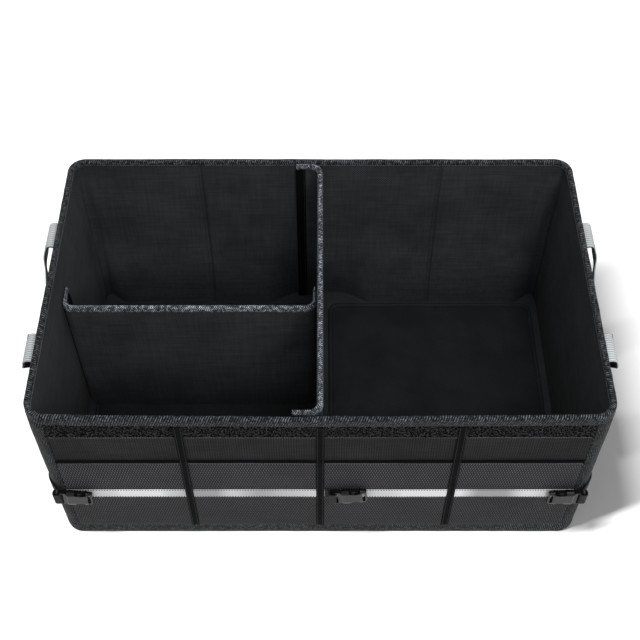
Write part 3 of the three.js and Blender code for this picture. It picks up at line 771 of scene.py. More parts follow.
def rim_binding():
    """The binding folded over the rim. It reaches lower on the outside than on the inside."""
    top = HEIGHT + CLEARANCE + TAPE
    outside = CLEARANCE + TAPE
    inside = -WALL - CLEARANCE - TAPE
    radius = 2.9
    section = [(outside - 0.2, RIM_BOTTOM), (outside, RIM_BOTTOM + 0.4), (outside, RIM_BOTTOM + 2.2)]
    section += [(outside + 0.2, RIM_BOTTOM + 5), (outside + 0.15, RIM_BOTTOM + 8)]
    section += arc_points(outside + 0.1 - radius, top - radius, radius, 0, 90, 5)
    section += arc_points(inside - 0.1 + radius, top - radius, radius, 90, 180, 5)
    section += [(inside - 0.15, RIM_INNER_BOTTOM + 3), (inside, RIM_INNER_BOTTOM + 1.5)]
    section += [(inside, RIM_INNER_BOTTOM + 0.4), (inside + 0.2, RIM_INNER_BOTTOM)]
    section += [(inside + TAPE, RIM_INNER_BOTTOM)]
    section += [(inside + TAPE, HEIGHT), (CLEARANCE, HEIGHT), (CLEARANCE, RIM_BOTTOM)]
    section = np.array(section)
    ways = around(5.0)
    s = ways[:, None]
    x, y, _, _ = plan(s)
    lift = 0.35 * ripple(x, y, 0 * x, 60, 21)
    bulge = 0.22 * ripple(x, y, section[None, :, 1], 11, 23)
    away = np.sign(section[:, 0] + 2.4)[None, :] * smooth(section[:, 1], 250, 254)[None, :]
    heights = section[:, 1] + lift * smooth(section[:, 1], 250, HEIGHT)
    points = wall_point(s, heights, section[:, 0] + bulge * away)
    shape = Shape()
    shape.tube(points, np.append(ways, PERIMETER), section, wrap=True)
    make("rim_tape", shape, "binding", "rim_binding")


def base_binding():
    """The binding round the foot of the walls."""
    near, far = CLEARANCE, CLEARANCE + TAPE
    section = [(near, BASE_TOP), (far - 0.2, BASE_TOP), (far, BASE_TOP - 0.4), (far, BASE_TOP - 2.4)]
    section += [(far + 0.25, 12), (far + 0.25, 6), (far, 2.2), (far - 0.5, 0.5), (near, CLEARANCE)]
    section = np.array(section)
    ways = around(5.0)
    s = ways[:, None]
    x, y, _, _ = plan(s)
    bulge = 0.25 * ripple(x, y, section[None, :, 1], 16, 31) * (section[None, :, 0] > near + 0.1)
    points = wall_point(s, section[None, :, 1], section[None, :, 0] + np.clip(bulge, -0.15, 0.4))
    shape = Shape()
    shape.tube(points, np.append(ways, PERIMETER), section, wrap=True)
    make("base_tape", shape, "binding", "base_binding")


rim_binding()
base_binding()

# Tapes and panels that lie on the outer cloth


ON_CLOTH = (CLEARANCE, CLEARANCE + TAPE)
FRONT_WAYS = (-FRONT_HALF, FRONT_HALF)
SEAM_HEIGHTS = (SEAM_BOTTOM, SEAM_TOP)


def wall_panel(name, ways, heights, offsets, look, slot, node, step, rough=0.0, seed=1):
    """A flat piece on the outer cloth. Its offsets, near and far, may be functions of the height."""
    u = spread(*ways, step[0])
    v = spread(*heights, step[1])
    s, z = np.meshgrid(u, v, indexing="ij")
    low, high = (offset(z) if callable(offset) else offset for offset in offsets)
    share = np.minimum(edge_round(s, *ways), edge_round(z, *heights))
    x, y, _, _ = plan(s)
    pile = rough * ripple(x, y, z, 3.1, seed) if rough else 0.0
    top = outer_point(s, z, low + (high - low) * share + np.maximum(pile, -0.1))
    bottom = outer_point(s, z, low + 0 * s)
    shape = Shape()
    shape.slab(top, bottom, u, v)
    return make(name, shape, look, node)


for corner, way in CORNERS.items():
    name, node = f"{corner}_seam_tape", f"{corner}_corner_tape"
    ways = (way - CORNER_TAPE_HALF, way + CORNER_TAPE_HALF)
    wall_panel(name, ways, SEAM_HEIGHTS, ON_CLOTH, "corner", "binding_tape", node, (1.8, 6.0))

front_band = (FRONT_WAYS, (SEAM_TOP - BAND_HEIGHT, SEAM_TOP), (CLEARANCE, CLEARANCE + BAND_THICKNESS))
front_net = (FRONT_WAYS, (SEAM_BOTTOM, HEM_TOP - HEM_THICKNESS - CLEARANCE), (MESH_NEAR, MESH_FAR))
front_ribbon = (FRONT_WAYS, (RIBBON_BOTTOM, RIBBON_TOP), (RIBBON_NEAR, RIBBON_FAR))
wall_panel("loop_band", *front_band, "loop", "hook_and_loop", "front_loop_band", (2.4, 2.4), 0.16, 41)
net = wall_panel("pocket_net", *front_net, "mesh", "mesh", "pocket_mesh", (5.0, 5.0))
wall_panel("silver_ribbon", *front_ribbon, "reflective", "reflective", "reflective_ribbon", (4.0, 3.0))


def pocket_hem():
    """The pocket's folded upper edge: a thin U over the top of the net."""
    near, far = CLEARANCE, MESH_FAR + CLEARANCE + HEM_THICKNESS
    low = HEM_TOP - HEM_HEIGHT
    section = [(far - 0.15, low), (far, low + 0.3), (far + 0.1, low + 2.5), (far, HEM_TOP - 1.0)]
    section += [(far - 0.4, HEM_TOP - 0.15), (far - 1.1, HEM_TOP)]
    section += [(near + 0.5, HEM_TOP - 0.1), (near, HEM_TOP - 0.6)]
    section += [(near, low), (near + HEM_THICKNESS, low), (near + HEM_THICKNESS, HEM_TOP - HEM_THICKNESS)]
    section += [(far - HEM_THICKNESS, HEM_TOP - HEM_THICKNESS), (far - HEM_THICKNESS, low)]
    section = np.array(section)
    ways = np.linspace(-FRONT_HALF, FRONT_HALF, 130)
    points = outer_point(ways[:, None], section[None, :, 1], section[None, :, 0])
    shape = Shape()
    shape.tube(points, ways, section)
    return make("pocket_hem_tape", shape, "strip", "pocket_hem")


hem = pocket_hem()


def strip_offset(z, base=0.0):
    """Strips lie on the loop band, climb over the hem and ribbon, and come down to the net."""
    heights = [SEAM_BOTTOM, RIBBON_BOTTOM - STRIP_RAMP, RIBBON_BOTTOM, HEM_TOP, HEM_TOP + STRIP_RAMP, SEAM_TOP]
    return base + np.interp(z, heights, np.repeat([STRIP_OVER_NET, STRIP_OVER_HEM, STRIP_OVER_BAND], 2))


strip_offsets = (strip_offset, lambda z: strip_offset(z, TAPE))
for side, fold in zip(("left", "centre", "right"), FRONT_FOLDS):
    name, node = f"upright_strip_{side}", f"front_strip_{side}"
    ways = (fold - STRIP_WIDTH / 2, fold + STRIP_WIDTH / 2)
    wall_panel(name, ways, SEAM_HEIGHTS, strip_offsets, "strip", "binding_tape", node, (1.6, 4.0))

# Loose base boards


def rounded_outline(x0, y0, x1, y1, radius, steps=8):
    """Points round a rounded rectangle, and their outward normals."""
    corners = [
        (x0 + radius, y0 + radius, 180),
        (x1 - radius, y0 + radius, 270),
        (x1 - radius, y1 - radius, 0),
        (x0 + radius, y1 - radius, 90),
    ]
    points, normals = [], []
    for cx, cy, start in corners:
        for i in range(steps + 1):
            angle = math.radians(start + 90 * i / steps)
            normals.append((math.cos(angle), math.sin(angle)))
            points.append((cx + radius * math.cos(angle), cy + radius * math.sin(angle)))
    return np.array(points), np.array(normals)


def base_board(side, sign):
    """A covered board with a rounded rim and a sewn groove. Gives back the line of its seam."""
    near = sign * (DIVIDER_HALF + BASE_BOARD_MARGIN)
    far = sign * (INNER_HALF_WIDTH - BASE_BOARD_MARGIN)
    y0 = BASE_BOARD_MARGIN - INNER_HALF_DEPTH
    y1 = INNER_HALF_DEPTH - BASE_BOARD_BACK_MARGIN
    points, normals = rounded_outline(min(near, far), y0, max(near, far), y1, BASE_BOARD_RADIUS)
    rings = [(0.9, BASE_BOARD_BOTTOM), (0.2, BASE_BOARD_BOTTOM + 0.6)]
    rings += [(inset, BASE_BOARD_TOP + rise) for inset, rise in BASE_BOARD_PROFILE]
    grid = np.stack([np.column_stack([points - normals * i, np.full(len(points), z)]) for i, z in rings], 1)
    shape = Shape()
    insets = np.array([inset for inset, _ in rings])
    index = shape.grid(grid, lengths(ring(points)), insets, wrap_rows=True)
    shape.fan(index[:-1, 0])
    shape.fan(index[:-1, -1])
    make(f"covered_board_{side}", shape, "base_board", f"base_board_{side}", sharp=60)
    seam = points - normals * 3.2
    return np.column_stack([seam, np.full(len(seam), BASE_BOARD_TOP + 0.45)])


board_seams = [base_board(side, sign) for side, sign in (("left", -1), ("right", 1))]

# Dividers


class DividerLine:
    """Both faces of a divider in plan, with its two flaps, as stations with outward normals."""

    def __init__(self, length, turn, centre):
        end = length / 2
        flap_end = DIVIDER_HALF + DIVIDER_FLAP
        bend = DIVIDER_BEND
        body = int(length / 7)
        self.end, self.flap_end, self.turn, self.centre = end, flap_end, turn, centre
        outer, outer_n = self._line(end, -DIVIDER_HALF, flap_end, bend, body, outward=-1)
        inner, inner_n = self._line(end - FLAP_THICKNESS, DIVIDER_HALF, flap_end, bend, body, outward=1)
        self.outer, self.inner = self.place(outer), self.place(inner)
        self.outer_n, self.inner_n = self.turned(outer_n), self.turned(inner_n)
        self.way = lengths(outer)

    @staticmethod
    def _line(end, y, flap_end, bend, body, outward):
        """One face from flap to flap, with the outward normals."""
        flap = np.linspace(flap_end, y + bend, 7)
        points = [(-end, value) for value in flap]
        normals = [(outward, 0)] * len(flap)
        for i in range(1, 9):
            angle = math.radians(180 + 90 * i / 9)
            points.append((bend - end + bend * math.cos(angle), y + bend + bend * math.sin(angle)))
            normals.append((-outward * math.cos(angle), -outward * math.sin(angle)))
        for x in np.linspace(bend - end, end - bend, body):
            points.append((x, y))
            normals.append((0, outward))
        half = len(flap) + 8
        mirrored = [(-x, value) for x, value in points[:half]][::-1]
        mirrored_n = [(-x, value) for x, value in normals[:half]][::-1]
        return np.array(points + mirrored), np.array(normals + mirrored_n)

    def turned(self, vectors):
        """Directions turned as the divider is."""
        if not self.turn:
            return vectors
        return np.column_stack([-vectors[:, 1], vectors[:, 0]])

    def place(self, points):
        """Points of the divider put in their place in the box."""
        return self.turned(points) + np.array(self.centre)

    def face(self, side, z, out):
        """Points on one face at heights z, moved out by a distance."""
        line, normal = (self.outer, self.outer_n) if side == "outer" else (self.inner, self.inner_n)
        z, out = np.broadcast_arrays(z, out)
        plan_points = line[:, None, :] + normal[:, None, :] * out[..., None]
        heights = np.broadcast_to(z, plan_points.shape[:2])
        return np.dstack([plan_points, heights])


def divider_parts(name, line, bottom, top):
    """A divider's sleeve, the binding along its top, and the tapes and hook and loop strips of its flaps."""
    way = line.way
    total = way[-1]
    heights = np.linspace(bottom, top - 9, int((top - bottom) / 7))
    heights = np.append(heights, [top - 6, top - 3, top - 1.2])
    z = np.broadcast_to(heights[None, :], (len(way), len(heights)))
    flap = 1 - smooth(way, 0, 40) + smooth(way, total - 40, total)
    faces = {}
    for side, seed in (("outer", 51), ("inner", 57)):
        base = line.face(side, z, 0 * z)
        wide = ripple(base[..., 0], base[..., 1], z * 0.6, 70, seed)
        fine = ripple(base[..., 0], base[..., 1], z, 20, seed + 1)
        held = smooth(z, bottom, bottom + 20) * (1 - smooth(z, top - 24, top - 10))
        pinch = 0.9 * smooth(z, top - 8, top - 1)
        out = held * (0.45 + 0.45 * wide + 0.2 * fine) * (1 - 0.6 * flap[:, None]) - pinch
        faces[side] = line.face(side, z, out)
    shape = Shape()
    shape.slab(faces["outer"], faces["inner"], way, heights)
    make(f"{name}_sleeve", shape, "lining", f"{name}_cover")

    low = top - DIVIDER_TAPE_HEIGHT
    far = CLEARANCE + TAPE
    peak = top + far
    steps = [(0.0, low), (0.0, low + 1), (0.0, low + 2.5), (0.0, peak - 2.4)]
    steps += [(0.07, peak - 1.2), (0.23, peak - 0.3)]
    steps += [(0.5, peak)] + [(1 - share, height) for share, height in reversed(steps)]
    columns = []
    for share, height in steps:
        wave = 0.15 * ripple(way, 0 * way, 0 * way + height, 15, 61)
        h = np.full((len(way), 1), height)
        pinch = 0.7 * float(smooth(height, top - 7, top - 1))
        a = line.face("outer", h, far + 0.1 - pinch + wave[:, None])[:, 0]
        b = line.face("inner", h, far + 0.1 - pinch + wave[:, None])[:, 0]
        columns.append(a * (1 - share) + b * share)
    for side, height in (("inner", low), ("inner", top - 0.7), ("outer", top - 0.7), ("outer", low)):
        h = np.full((len(way), 1), height)
        near = CLEARANCE * 0.5 - 0.7 * float(smooth(height, top - 7, top - 1))
        columns.append(line.face(side, h, np.full((len(way), 1), near))[:, 0])
    points = np.stack(columns, 1)
    shape = Shape()
    shape.tube(points, way, points[len(way) // 2])
    make(f"{name}_top_tape", shape, "divider_binding", f"{name}_binding")

    taped_top = low - CLEARANCE
    flap_end = line.flap_end
    edge_start = flap_end - FLAP_TAPE_WIDTH
    near_x, far_x = line.end, line.end - FLAP_THICKNESS
    tape_heights = np.linspace(bottom, taped_top, int((taped_top - bottom) / 6))
    for letter, sign in (("a", -1), ("b", 1)):
        edge = [(near_x + CLEARANCE, edge_start), (near_x + far - 0.2, edge_start)]
        edge += [(near_x + far, edge_start + 0.4), (near_x + far, flap_end)]
        edge += [(near_x + far - 0.6, flap_end + 0.9)]
        edge += [(far_x - far + 0.6, flap_end + 0.9), (far_x - far, flap_end), (far_x - far, edge_start + 0.4)]
        edge += [(far_x - far + 0.2, edge_start), (far_x - CLEARANCE, edge_start)]
        edge += [(far_x - CLEARANCE, flap_end + CLEARANCE), (near_x + CLEARANCE, flap_end + CLEARANCE)]
        edge = np.array([(sign * x, y) for x, y in edge])
        plan_edge = line.place(edge)
        rows = []
        for height in tape_heights:
            wave = 0.2 * noise.noise(Vector((height / 14, sign * 3.1, 7.7)))
            rows.append(np.column_stack([plan_edge + wave * 0.4, np.full(len(plan_edge), height)]))
        shape = Shape()
        shape.tube(np.stack(rows), tape_heights, edge)
        make(f"{name}_flap_tape_{letter}", shape, "strip", f"{name}_edge_tape_{letter}")
        for part, near in (("hook", near_x + CLEARANCE), ("wall_loop", near_x + 2 * CLEARANCE + HOOK)):
            sides = (sign * near, sign * (near + HOOK))
            fuzzy_strip(name, part, letter, line, sides, (bottom, taped_top), edge_start)


def fuzzy_strip(name, part, letter, line, sides, heights, flap_stop):
    """A hook or loop strip between a flap and the wall."""
    (x0, x1), (bottom, top) = sides, heights
    y = spread(DIVIDER_BEND, flap_stop - CLEARANCE, 3.0)
    z = spread(bottom + HOOK_MARGIN, top - HOOK_MARGIN, 4.0)
    yy, zz = np.meshgrid(y, z, indexing="ij")
    share = np.minimum(edge_round(yy, y[0], y[-1]), edge_round(zz, z[0], z[-1]))

    def sheet(x):
        """The strip's face at some distances from the divider's middle."""
        flat = np.column_stack([x.ravel(), yy.ravel()])
        return np.column_stack([line.place(flat), zz.ravel()]).reshape(*yy.shape, 3)

    middle = (x0 + x1) / 2
    shape = Shape()
    shape.slab(sheet(middle + (x1 - middle) * share), sheet(middle + (x0 - middle) * share), y, z)
    make(f"{name}_{part}_strip_{letter}", shape, "loop", f"{name}_{part}_{letter}")


flap_gap = 2 * HOOK + 3 * CLEARANCE
long_line = DividerLine(2 * (INNER_HALF_DEPTH - flap_gap), True, (0.0, 0.0))
cross_span = INNER_HALF_WIDTH - DIVIDER_HALF
cross_line = DividerLine(cross_span - 2 * flap_gap, False, (-DIVIDER_HALF - cross_span / 2, CROSS_Y))
divider_parts("long_divider", long_line, LONG_BOTTOM, LONG_TOP)
divider_parts("cross_divider", cross_line, CROSS_BOTTOM, CROSS_TOP)

# Handles


def catmull(points, count):
    """Evenly spaced points on a centripetal curve through the given ones."""
    points = np.asarray(points, float)
    ends = np.vstack([2 * points[0] - points[1], points, 2 * points[-1] - points[-2]])
    dense = []
    for i in range(1, len(ends) - 2):
        p0, p1, p2, p3 = ends[i - 1 : i + 3]
        d0, d1, d2 = (np.linalg.norm(b - a) ** 0.5 for a, b in ((p0, p1), (p1, p2), (p2, p3)))
        t1 = ((p1 - p0) / d0 - (p2 - p0) / (d0 + d1) + (p2 - p1) / d1) * d1
        t2 = ((p2 - p1) / d1 - (p3 - p1) / (d1 + d2) + (p3 - p2) / d2) * d1
        t = np.linspace(0, 1, 120, endpoint=False)[:, None]
        dense.append(p1 + t1 * t + (3 * (p2 - p1) - 2 * t1 - t2) * t**2 + (2 * (p1 - p2) + t1 + t2) * t**3)
    dense = np.vstack(dense + [points[-1:]])
    way = lengths(dense)
    marks = np.linspace(0, way[-1], count)
    return sample(dense, way, marks), marks


def handle_path(count):
    """The middle line of a handle's strap, as its distance from the wall, its place along it and its height."""
    start = CLEARANCE + HANDLE_THICKNESS / 2
    centre = start + HANDLE_FOLD_RADIUS
    reach = centre + HANDLE_FOLD_RADIUS
    half = [(start, HANDLE_HALF_SPAN, HANDLE_STITCH_TOP - HANDLE_STITCH_LENGTH)]
    fold = arc_points(centre, HANDLE_STITCH_TOP, HANDLE_FOLD_RADIUS, 180, 0, 6)
    half += [(out, HANDLE_HALF_SPAN, z) for out, z in fold]
    legs = [(reach + out, HANDLE_HALF_SPAN - back, drop) for out, back, drop in HANDLE_LEG]
    legs += [(HANDLE_SAG - 1, HANDLE_HALF_SPAN / 2 - 11, 0.87)]
    half += [(out, along, HANDLE_STITCH_TOP - HANDLE_DROP * drop) for out, along, drop in legs]
    mirrored = [(out, -along, z) for out, along, z in reversed(half)]
    return catmull(half + [(HANDLE_SAG, 0, HANDLE_STITCH_TOP - HANDLE_DROP)] + mirrored, count)


def strap_frames(count):
    """The middle line with the directions across the strap and out of its face, which twist along it."""
    centres, marks = handle_path(count)
    along = unit(np.gradient(centres, axis=0))
    part = marks / marks[-1]
    turn = math.pi * smooth(part, HANDLE_TWIST_START, 1 - HANDLE_TWIST_START)
    tilt = math.radians(HANDLE_TILT)
    lean = HANDLE_LEAN * smooth(part, 0.17, 0.25) * (1 - smooth(part, 0.36, 0.46))
    away = np.sin(turn)
    across = np.column_stack([lean - away * math.cos(tilt), np.cos(turn), -away * math.sin(tilt)])
    across = unit(across - along * np.sum(across * along, axis=1)[:, None])
    return centres, marks, across, np.cross(along, across)


def strap_section(width, thickness, ribs, rib_height):
    """Half widths and heights of a strap's cross section, going once round it."""
    edge = thickness / 2
    columns = ribs * 4 if ribs else 12
    across = np.linspace(-width / 2 + edge, width / 2 - edge, columns + 1)
    lift = rib_height * np.abs(np.sin(np.linspace(0, ribs * math.pi, columns + 1))) if ribs else 0 * across
    top = [(a, edge - rib_height + l) for a, l in zip(across, lift)]
    right = arc_points(width / 2 - edge, 0, edge - rib_height / 2, 60, -60, 3)
    bottom = [(a, -h) for a, h in reversed(top)]
    left = [(-a, h) for a, h in reversed(right)]
    return np.array(top + right + bottom + left)


def handle_layer(name, side, thickness, inset, ribs, rib_height, look, slot, node):
    """One layer of a handle, at a distance behind the middle of its strap."""
    centres, marks, across, face = strap_frames(170)
    section = strap_section(HANDLE_WIDTH, thickness, ribs, rib_height)
    middle = (centres - face * inset)[:, None, :]
    points = middle + across[:, None, :] * section[None, :, :1] + face[:, None, :] * section[None, :, 1:]
    points[..., 0] = side * (HALF_WIDTH + points[..., 0])
    points[..., 1] += HANDLE_CENTRE_Y
    shape = Shape()
    shape.tube(points, marks, section)
    make(name, shape, look, node, sharp=70)


backing_inset = (HANDLE_THICKNESS + HANDLE_BACKING) / 2 + CLEARANCE * 0.5
for name, side in (("left", -1), ("right", 1)):
    strap = (side, HANDLE_THICKNESS, 0.0, HANDLE_RIBS, HANDLE_RIB_HEIGHT, "strap", "grey_webbing")
    backing = (side, HANDLE_BACKING, backing_inset, 0, 0.0, "backing", "black_webbing")
    handle_layer(f"{name}_handle_strap", *strap, f"handle_{name}_webbing")
    handle_layer(f"{name}_handle_lining", *backing, f"handle_{name}_backing")

# Webbing loops of the buckles


def ribbon_along(shape, line, width, thickness, closed):
    """Adds a strip that stands upright along a plan line to a shape."""
    line = np.asarray(line, float)
    if closed:
        before, after = np.roll(line, 1, 0), np.roll(line, -1, 0)
    else:
        before = np.vstack([line[:1] * 2 - line[1:2], line[:-1]])
        after = np.vstack([line[1:], line[-1:] * 2 - line[-2:-1]])
    along = unit(after - before)
    normal = np.column_stack([along[:, 1], -along[:, 0]])
    section = strap_section(width, thickness, LOOP_RIBS, LOOP_RIB_HEIGHT)
    points = np.zeros((len(line), len(section), 3))
    points[..., :2] = line[:, None, :] + normal[:, None, :] * section[None, :, 1:]
    points[..., 2] = section[None, :, 0]
    shape.tube(points, lengths(ring(line) if closed else line), section, wrap=closed)


def buckle_loop(name, x, tail, mirrored):
    """The webbing loop that holds a buckle: a ring through the plug's slot and a double tail to its seam."""
    hole = PLUG_BASE_THICKNESS / 2 + 0.4 + LOOP_THICKNESS / 2
    play = LOOP_PLAY + LOOP_THICKNESS / 2
    outline, _ = rounded_outline(-play, -hole, BUCKLE_BAR + play, hole, LOOP_CORNER, steps=5)
    sign = -1 if mirrored else 1
    tail_line = catmull([(px, sign * py, 0) for px, py in tail], 24)[0][:, :2]
    shape = Shape()
    ribbon_along(shape, outline, LOOP_WIDTH, LOOP_THICKNESS, True)
    ribbon_along(shape, tail_line, LOOP_WIDTH, 2 * LOOP_THICKNESS, False)
    y = -HALF_DEPTH - BUCKLE_STANDOFF
    shape.points = [(x + sign * px, y + sign * py, BUCKLE_HEIGHT + pz) for px, py, pz in shape.points]
    make(f"{name}_buckle_strap", shape, "black_webbing", f"{name}_buckle_loop")


def corner_tail():
    """The plan line of a tail that comes round a corner seam and leads into its buckle."""
    radius = CORNER_RADIUS + 2 * CLEARANCE + TAPE + LOOP_THICKNESS
    origin_x = CORNER_BUCKLE_X - FRONT_HALF
    origin_y = CORNER_RADIUS + BUCKLE_STANDOFF
    corner = arc_points(origin_x, origin_y, radius, 180, CORNER_TAIL_END, 4)
    lead = (corner[-1][0] + CORNER_TAIL_LEAD[0], corner[-1][1] + CORNER_TAIL_LEAD[1])
    return [(origin_x - radius, origin_y + LOOP_WIDTH)] + corner + [lead]


tail_rise = BUCKLE_STANDOFF - RIBBON_FAR - CLEARANCE - LOOP_THICKNESS
centre_tail = [(STRIP_WIDTH / 2 + 2 * CLEARANCE - CENTRE_BUCKLE_X, tail_rise), (0.6, tail_rise)]
buckle_loop("left", -CORNER_BUCKLE_X, corner_tail(), False)
buckle_loop("centre", CENTRE_BUCKLE_X, centre_tail, False)
buckle_loop("right", CORNER_BUCKLE_X, corner_tail(), True)

# Stitches


def stitch_rows(
    name, rows, pitch=3.4, length=2.5, width=0.55, height=0.34, slot="binding_tape", thread="thread"
):
    """Thread stitches along lines. Each row is (points, normals)."""
    shape = Shape()
    template = [(-0.32, -0.5, 0), (-0.32, 0, 1), (-0.32, 0.5, 0), (0.32, -0.5, 0), (0.32, 0, 1), (0.32, 0.5, 0)]
    template = np.array(template + [(-0.5, 0, 0), (0.5, 0, 0), (0, 0, -0.4)])
    pattern = [(0, 1, 4, 3), (1, 2, 5, 4), (0, 6, 1), (1, 6, 2), (3, 4, 7), (4, 5, 7)]
    pattern += [(0, 3, 8), (3, 7, 8), (7, 5, 8), (5, 2, 8), (2, 6, 8), (6, 0, 8)]
    for line, normal in rows:
        way = lengths(line)
        count = int(way[-1] / pitch)
        if count < 1:
            continue
        marks = (np.arange(count) + 0.5) * way[-1] / count
        along = unit(sample(line, way, marks + 0.6) - sample(line, way, marks - 0.6))
        up = unit(sample(normal, way, marks))
        for c, a, s, n in zip(sample(line, way, marks), along, np.cross(along, up), up):
            start = len(shape.points)
            offsets = template[:, :1] * a * length + template[:, 1:2] * s * width + template[:, 2:] * n * height
            shape.points.extend(map(tuple, c + offsets))
            shape.faces.extend([start + i for i in face] for face in pattern)
    x, y, z = np.array(shape.points)[[i for face in shape.faces for i in face]].T
    shape.uvs = np.column_stack([x + y, z]) * MM
    make(name, shape, thread, sharp=180)


def wall_row(s, z, offset, inner=False):
    """A row of points along the wall with the direction that it faces."""
    s, z = np.broadcast_arrays(np.asarray(s, float), np.asarray(z, float))
    _, _, nx, ny = plan(s)
    normal = np.column_stack([nx, ny, 0 * nx])
    if inner:
        return inner_point(s, z, offset), -normal
    return outer_point(s, z, offset), normal


full = np.linspace(0, PERIMETER, 700)
outward = wall_row(full, 0, 0)[1]
front = np.linspace(-FRONT_HALF + 1.5, FRONT_HALF - 1.5, 240)
tall = np.linspace(SEAM_BOTTOM + 1, SEAM_TOP - 1, 80)
inside_tall = np.linspace(BASE_BOARD_TOP + 2, RIM_BOTTOM - 2, 80)
rim_out = CLEARANCE + TAPE + 0.05

rows = [(wall_point(full, z + 0 * full, rim_out), outward) for z in (RIM_BOTTOM + 2.4, BASE_TOP - 2.6)]
stitch_rows("rim_stitches", rows)

rows = [(wall_point(full, RIM_INNER_BOTTOM + 1.4 + 0 * full, -WALL - rim_out), -outward)]
stitch_rows("inner_rim_stitches", rows, pitch=3.2, length=2.4, width=0.7, height=0.45, thread="light_thread")

rows = [wall_row(front, SEAM_TOP - BAND_HEIGHT + 0.6, CLEARANCE + BAND_THICKNESS)]
rows += [wall_row(front, HEM_TOP - HEM_HEIGHT + 1.4, MESH_FAR + CLEARANCE + HEM_THICKNESS + 0.05)]
stitch_rows("front_stitches", rows, pitch=2.6, width=0.8, thread="light_thread")

rows = [wall_row(front, z, RIBBON_FAR) for z in (RIBBON_TOP - 1.5, RIBBON_BOTTOM + 1.5)]
size = {"pitch": 3.1, "length": 1.9, "width": 1.4, "height": 0.45}
stitch_rows("ribbon_stitches", rows, **size, slot="reflective", thread="dark_thread")


def upright_rows(ways, apart, z, offset, inner=False):
    """Two rows up the wall at each of some ways, at a distance to both sides."""
    return [wall_row(way + shift + 0 * z, z, offset, inner) for way in ways for shift in (-apart, apart)]


rows = upright_rows(FRONT_FOLDS, STRIP_WIDTH / 2 - 1.5, tall, strip_offset(tall, TAPE))
rows += upright_rows(CORNERS.values(), CORNER_TAPE_HALF - 1.6, tall, CLEARANCE + TAPE)
stitch_rows("strip_stitches", rows)

# Real stitches beside each fold, in dark thread that also gives painted shade along the fold lines.
rows = upright_rows(FOLDS, FOLD_SEAM, inside_tall, 0.02, inner=True)
rows += upright_rows(BACK_FOLDS, FOLD_SEAM, tall, 0.02)
stitch_rows("fold_stitches", rows, slot="lining", width=0.8, thread="dark_thread")

rows = [(ring(seam), np.tile([0.0, 0.0, 1.0], (len(seam) + 1, 1))) for seam in board_seams]
stitch_rows("board_stitches", rows, slot="base_board")


def divider_stitches(line, bottom, top):
    """Rows along both faces of a divider's top binding and down its two flap tapes."""
    rows = []
    for side, normals in (("outer", line.outer_n), ("inner", line.inner_n)):
        flat = np.column_stack([normals, np.zeros(len(normals))])
        height = np.full((len(line.way), 1), top - DIVIDER_TAPE_HEIGHT + 1.4)
        points = line.face(side, height, np.full((len(line.way), 1), CLEARANCE + TAPE + 0.18))[:, 0]
        rows.append((points, flat))
    z = np.linspace(bottom + 1, top - DIVIDER_TAPE_HEIGHT - 2, 60)
    for sign in (-1, 1):
        place = line.flap_end - FLAP_TAPE_WIDTH + 1.8
        x = sign * (line.end - FLAP_THICKNESS - CLEARANCE - TAPE - 0.05)
        spot = line.place(np.array([[x, place]]))[0]
        normal = line.turned(np.array([[-sign, 0.0]]))[0]
        points = np.column_stack([spot[0] + 0 * z, spot[1] + 0 * z, z])
        rows.append((points, np.tile([*normal, 0], (len(z), 1))))
    return rows


stitch_rows("long_divider_stitches", divider_stitches(long_line, LONG_BOTTOM, LONG_TOP), slot="lining")
stitch_rows("cross_divider_stitches", divider_stitches(cross_line, CROSS_BOTTOM, CROSS_TOP), slot="lining")

# CAD pieces that keep their own shape


def dress(node, look, bevel):
    """Gives a CAD node its look and rounded edges, with the bevel in millimetres."""
    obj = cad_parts[node]
    obj.data.materials.clear()
    obj.data.materials.append(looks[look])
    smooth_faces(obj.data, CAD_SHARP_ANGLE)
    rounding = obj.modifiers.new("rounding", "BEVEL")
    rounding.width = bevel * MM
    rounding.segments = 3
    rounding.limit_method = "ANGLE"
    rounding.angle_limit = math.radians(CAD_SHARP_ANGLE)
    rounding.harden_normals = True


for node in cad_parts:
    if node.endswith("_stiffener") or "_stiffener_" in node or node.endswith("_divider_board"):
        dress(node, "board", 0.3)
    if node.endswith(("_buckle_plug", "_buckle_socket")):
        dress(node, "plastic", 0.9)

# Floor, light and camera


def background_rays(tree):
    """1 for the rays that may see the white background: from the camera, mirrored or passing through."""
    path = tree.nodes.new("ShaderNodeLightPath")
    seen = path.outputs["Is Camera Ray"]
    for kind in ("Is Glossy Ray", "Is Transmission Ray"):
        either = tree.nodes.new("ShaderNodeMath")
        either.operation = "MAXIMUM"
        tree.links.new(seen, either.inputs[0])
        tree.links.new(path.outputs[kind], either.inputs[1])
        seen = either.outputs[0]
    return seen


# The floor's tone for the light that falls on the object, and as the camera sees it
FLOOR_TONE = grey(0.30)
FLOOR_SEEN = grey(0.94)


def floor():
    """A large pale floor just under the object."""
    mesh = bpy.data.meshes.new("floor")
    corners = [(-6.0, -6.0, 0), (6.0, -6.0, 0), (6.0, 6.0, 0), (-6.0, 6.0, 0)]
    mesh.from_pydata(corners, [], [(0, 1, 2, 3)])
    obj = bpy.data.objects.new("floor", mesh)
    bpy.context.scene.collection.objects.link(obj)
    look = Look("pale_floor")
    fill(look.shader, {"Roughness": 0.9, "Specular IOR Level": 0.1})
    colour = look.mix(background_rays(look.tree), FLOOR_TONE, FLOOR_SEEN)
    look.link(colour, look.shader.inputs["Base Color"])
    mesh.materials.append(look.material)
    obj.location.z = -0.0003
    return obj


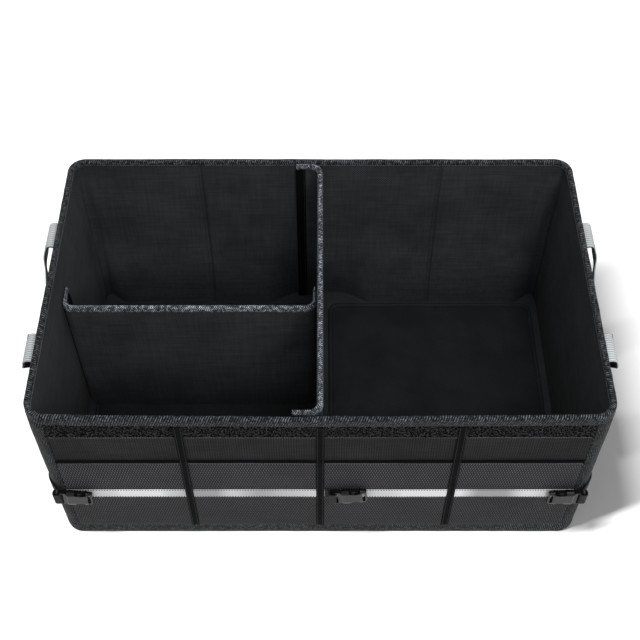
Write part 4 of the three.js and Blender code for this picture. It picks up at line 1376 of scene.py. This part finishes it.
def area_light(name, place, target, size, power, receivers):
    """A rectangular lamp that falls on some objects only."""
    lamp = bpy.data.lights.new(name, "AREA")
    lamp.shape = "RECTANGLE"
    lamp.size, lamp.size_y = size
    lamp.energy = power
    obj = bpy.data.objects.new(name, lamp)
    obj.location = place
    obj.rotation_euler = (Vector(target) - Vector(place)).to_track_quat("-Z", "Y").to_euler()
    bpy.context.scene.collection.objects.link(obj)
    obj.light_linking.receiver_collection = receivers
    obj.visible_camera = False


def surroundings(strength):
    """Soft white light from all round, and a white background for the camera and for reflections."""
    world = bpy.data.worlds.new("studio")
    bpy.context.scene.world = world
    world.use_nodes = True
    tree = world.node_tree
    ambient, white = tree.nodes["Background"], tree.nodes.new("ShaderNodeBackground")
    fill(ambient, {"Color": (1, 1, 1, 1), "Strength": strength})
    fill(white, {"Color": (1, 1, 1, 1), "Strength": 1.0})
    mix = tree.nodes.new("ShaderNodeMixShader")
    tree.links.new(background_rays(tree), mix.inputs[0])
    tree.links.new(ambient.outputs[0], mix.inputs[1])
    tree.links.new(white.outputs[0], mix.inputs[2])
    tree.links.new(mix.outputs[0], tree.nodes["World Output"].inputs["Surface"])


ground = floor()
surroundings(0.38)

# The lamps on the object leave the floor out, and one soft light from the left falls on the floor alone:
# it throws the object's shadow to the right
object_only = bpy.data.collections.new("all_but_floor")
object_only.objects.link(ground)
object_only.collection_objects[0].light_linking.link_state = "EXCLUDE"
floor_only = bpy.data.collections.new("floor_only")
floor_only.objects.link(ground)

area_light("top", (0.3, 0.3, 2.6), (0, 0, 0.1), (1.6, 1.2), 19, object_only)
area_light("front", (0.2, -1.35, 2.5), (0, 0.1, 0.0), (1.0, 0.7), 34, object_only)
area_light("glint", (0.5, -1.3, 1.5), (0, -0.19, 0.1), (0.2, 0.5), 12, object_only)
area_light("shade", (-3.40, -1.44, 9.29), (0, 0, 0), (0.5, 3.0), 1130, floor_only)

camera_data = bpy.data.cameras.new("camera")
camera_data.sensor_width = 36.0
camera_data.lens = CAMERA_LENS
camera = bpy.data.objects.new("camera", camera_data)
camera.location = CAMERA_PLACE
camera.rotation_euler = (math.pi / 2 - CAMERA_DIP, 0, 0)
bpy.context.scene.collection.objects.link(camera)
bpy.context.scene.camera = camera
bpy.context.scene.view_settings.view_transform = "Standard"
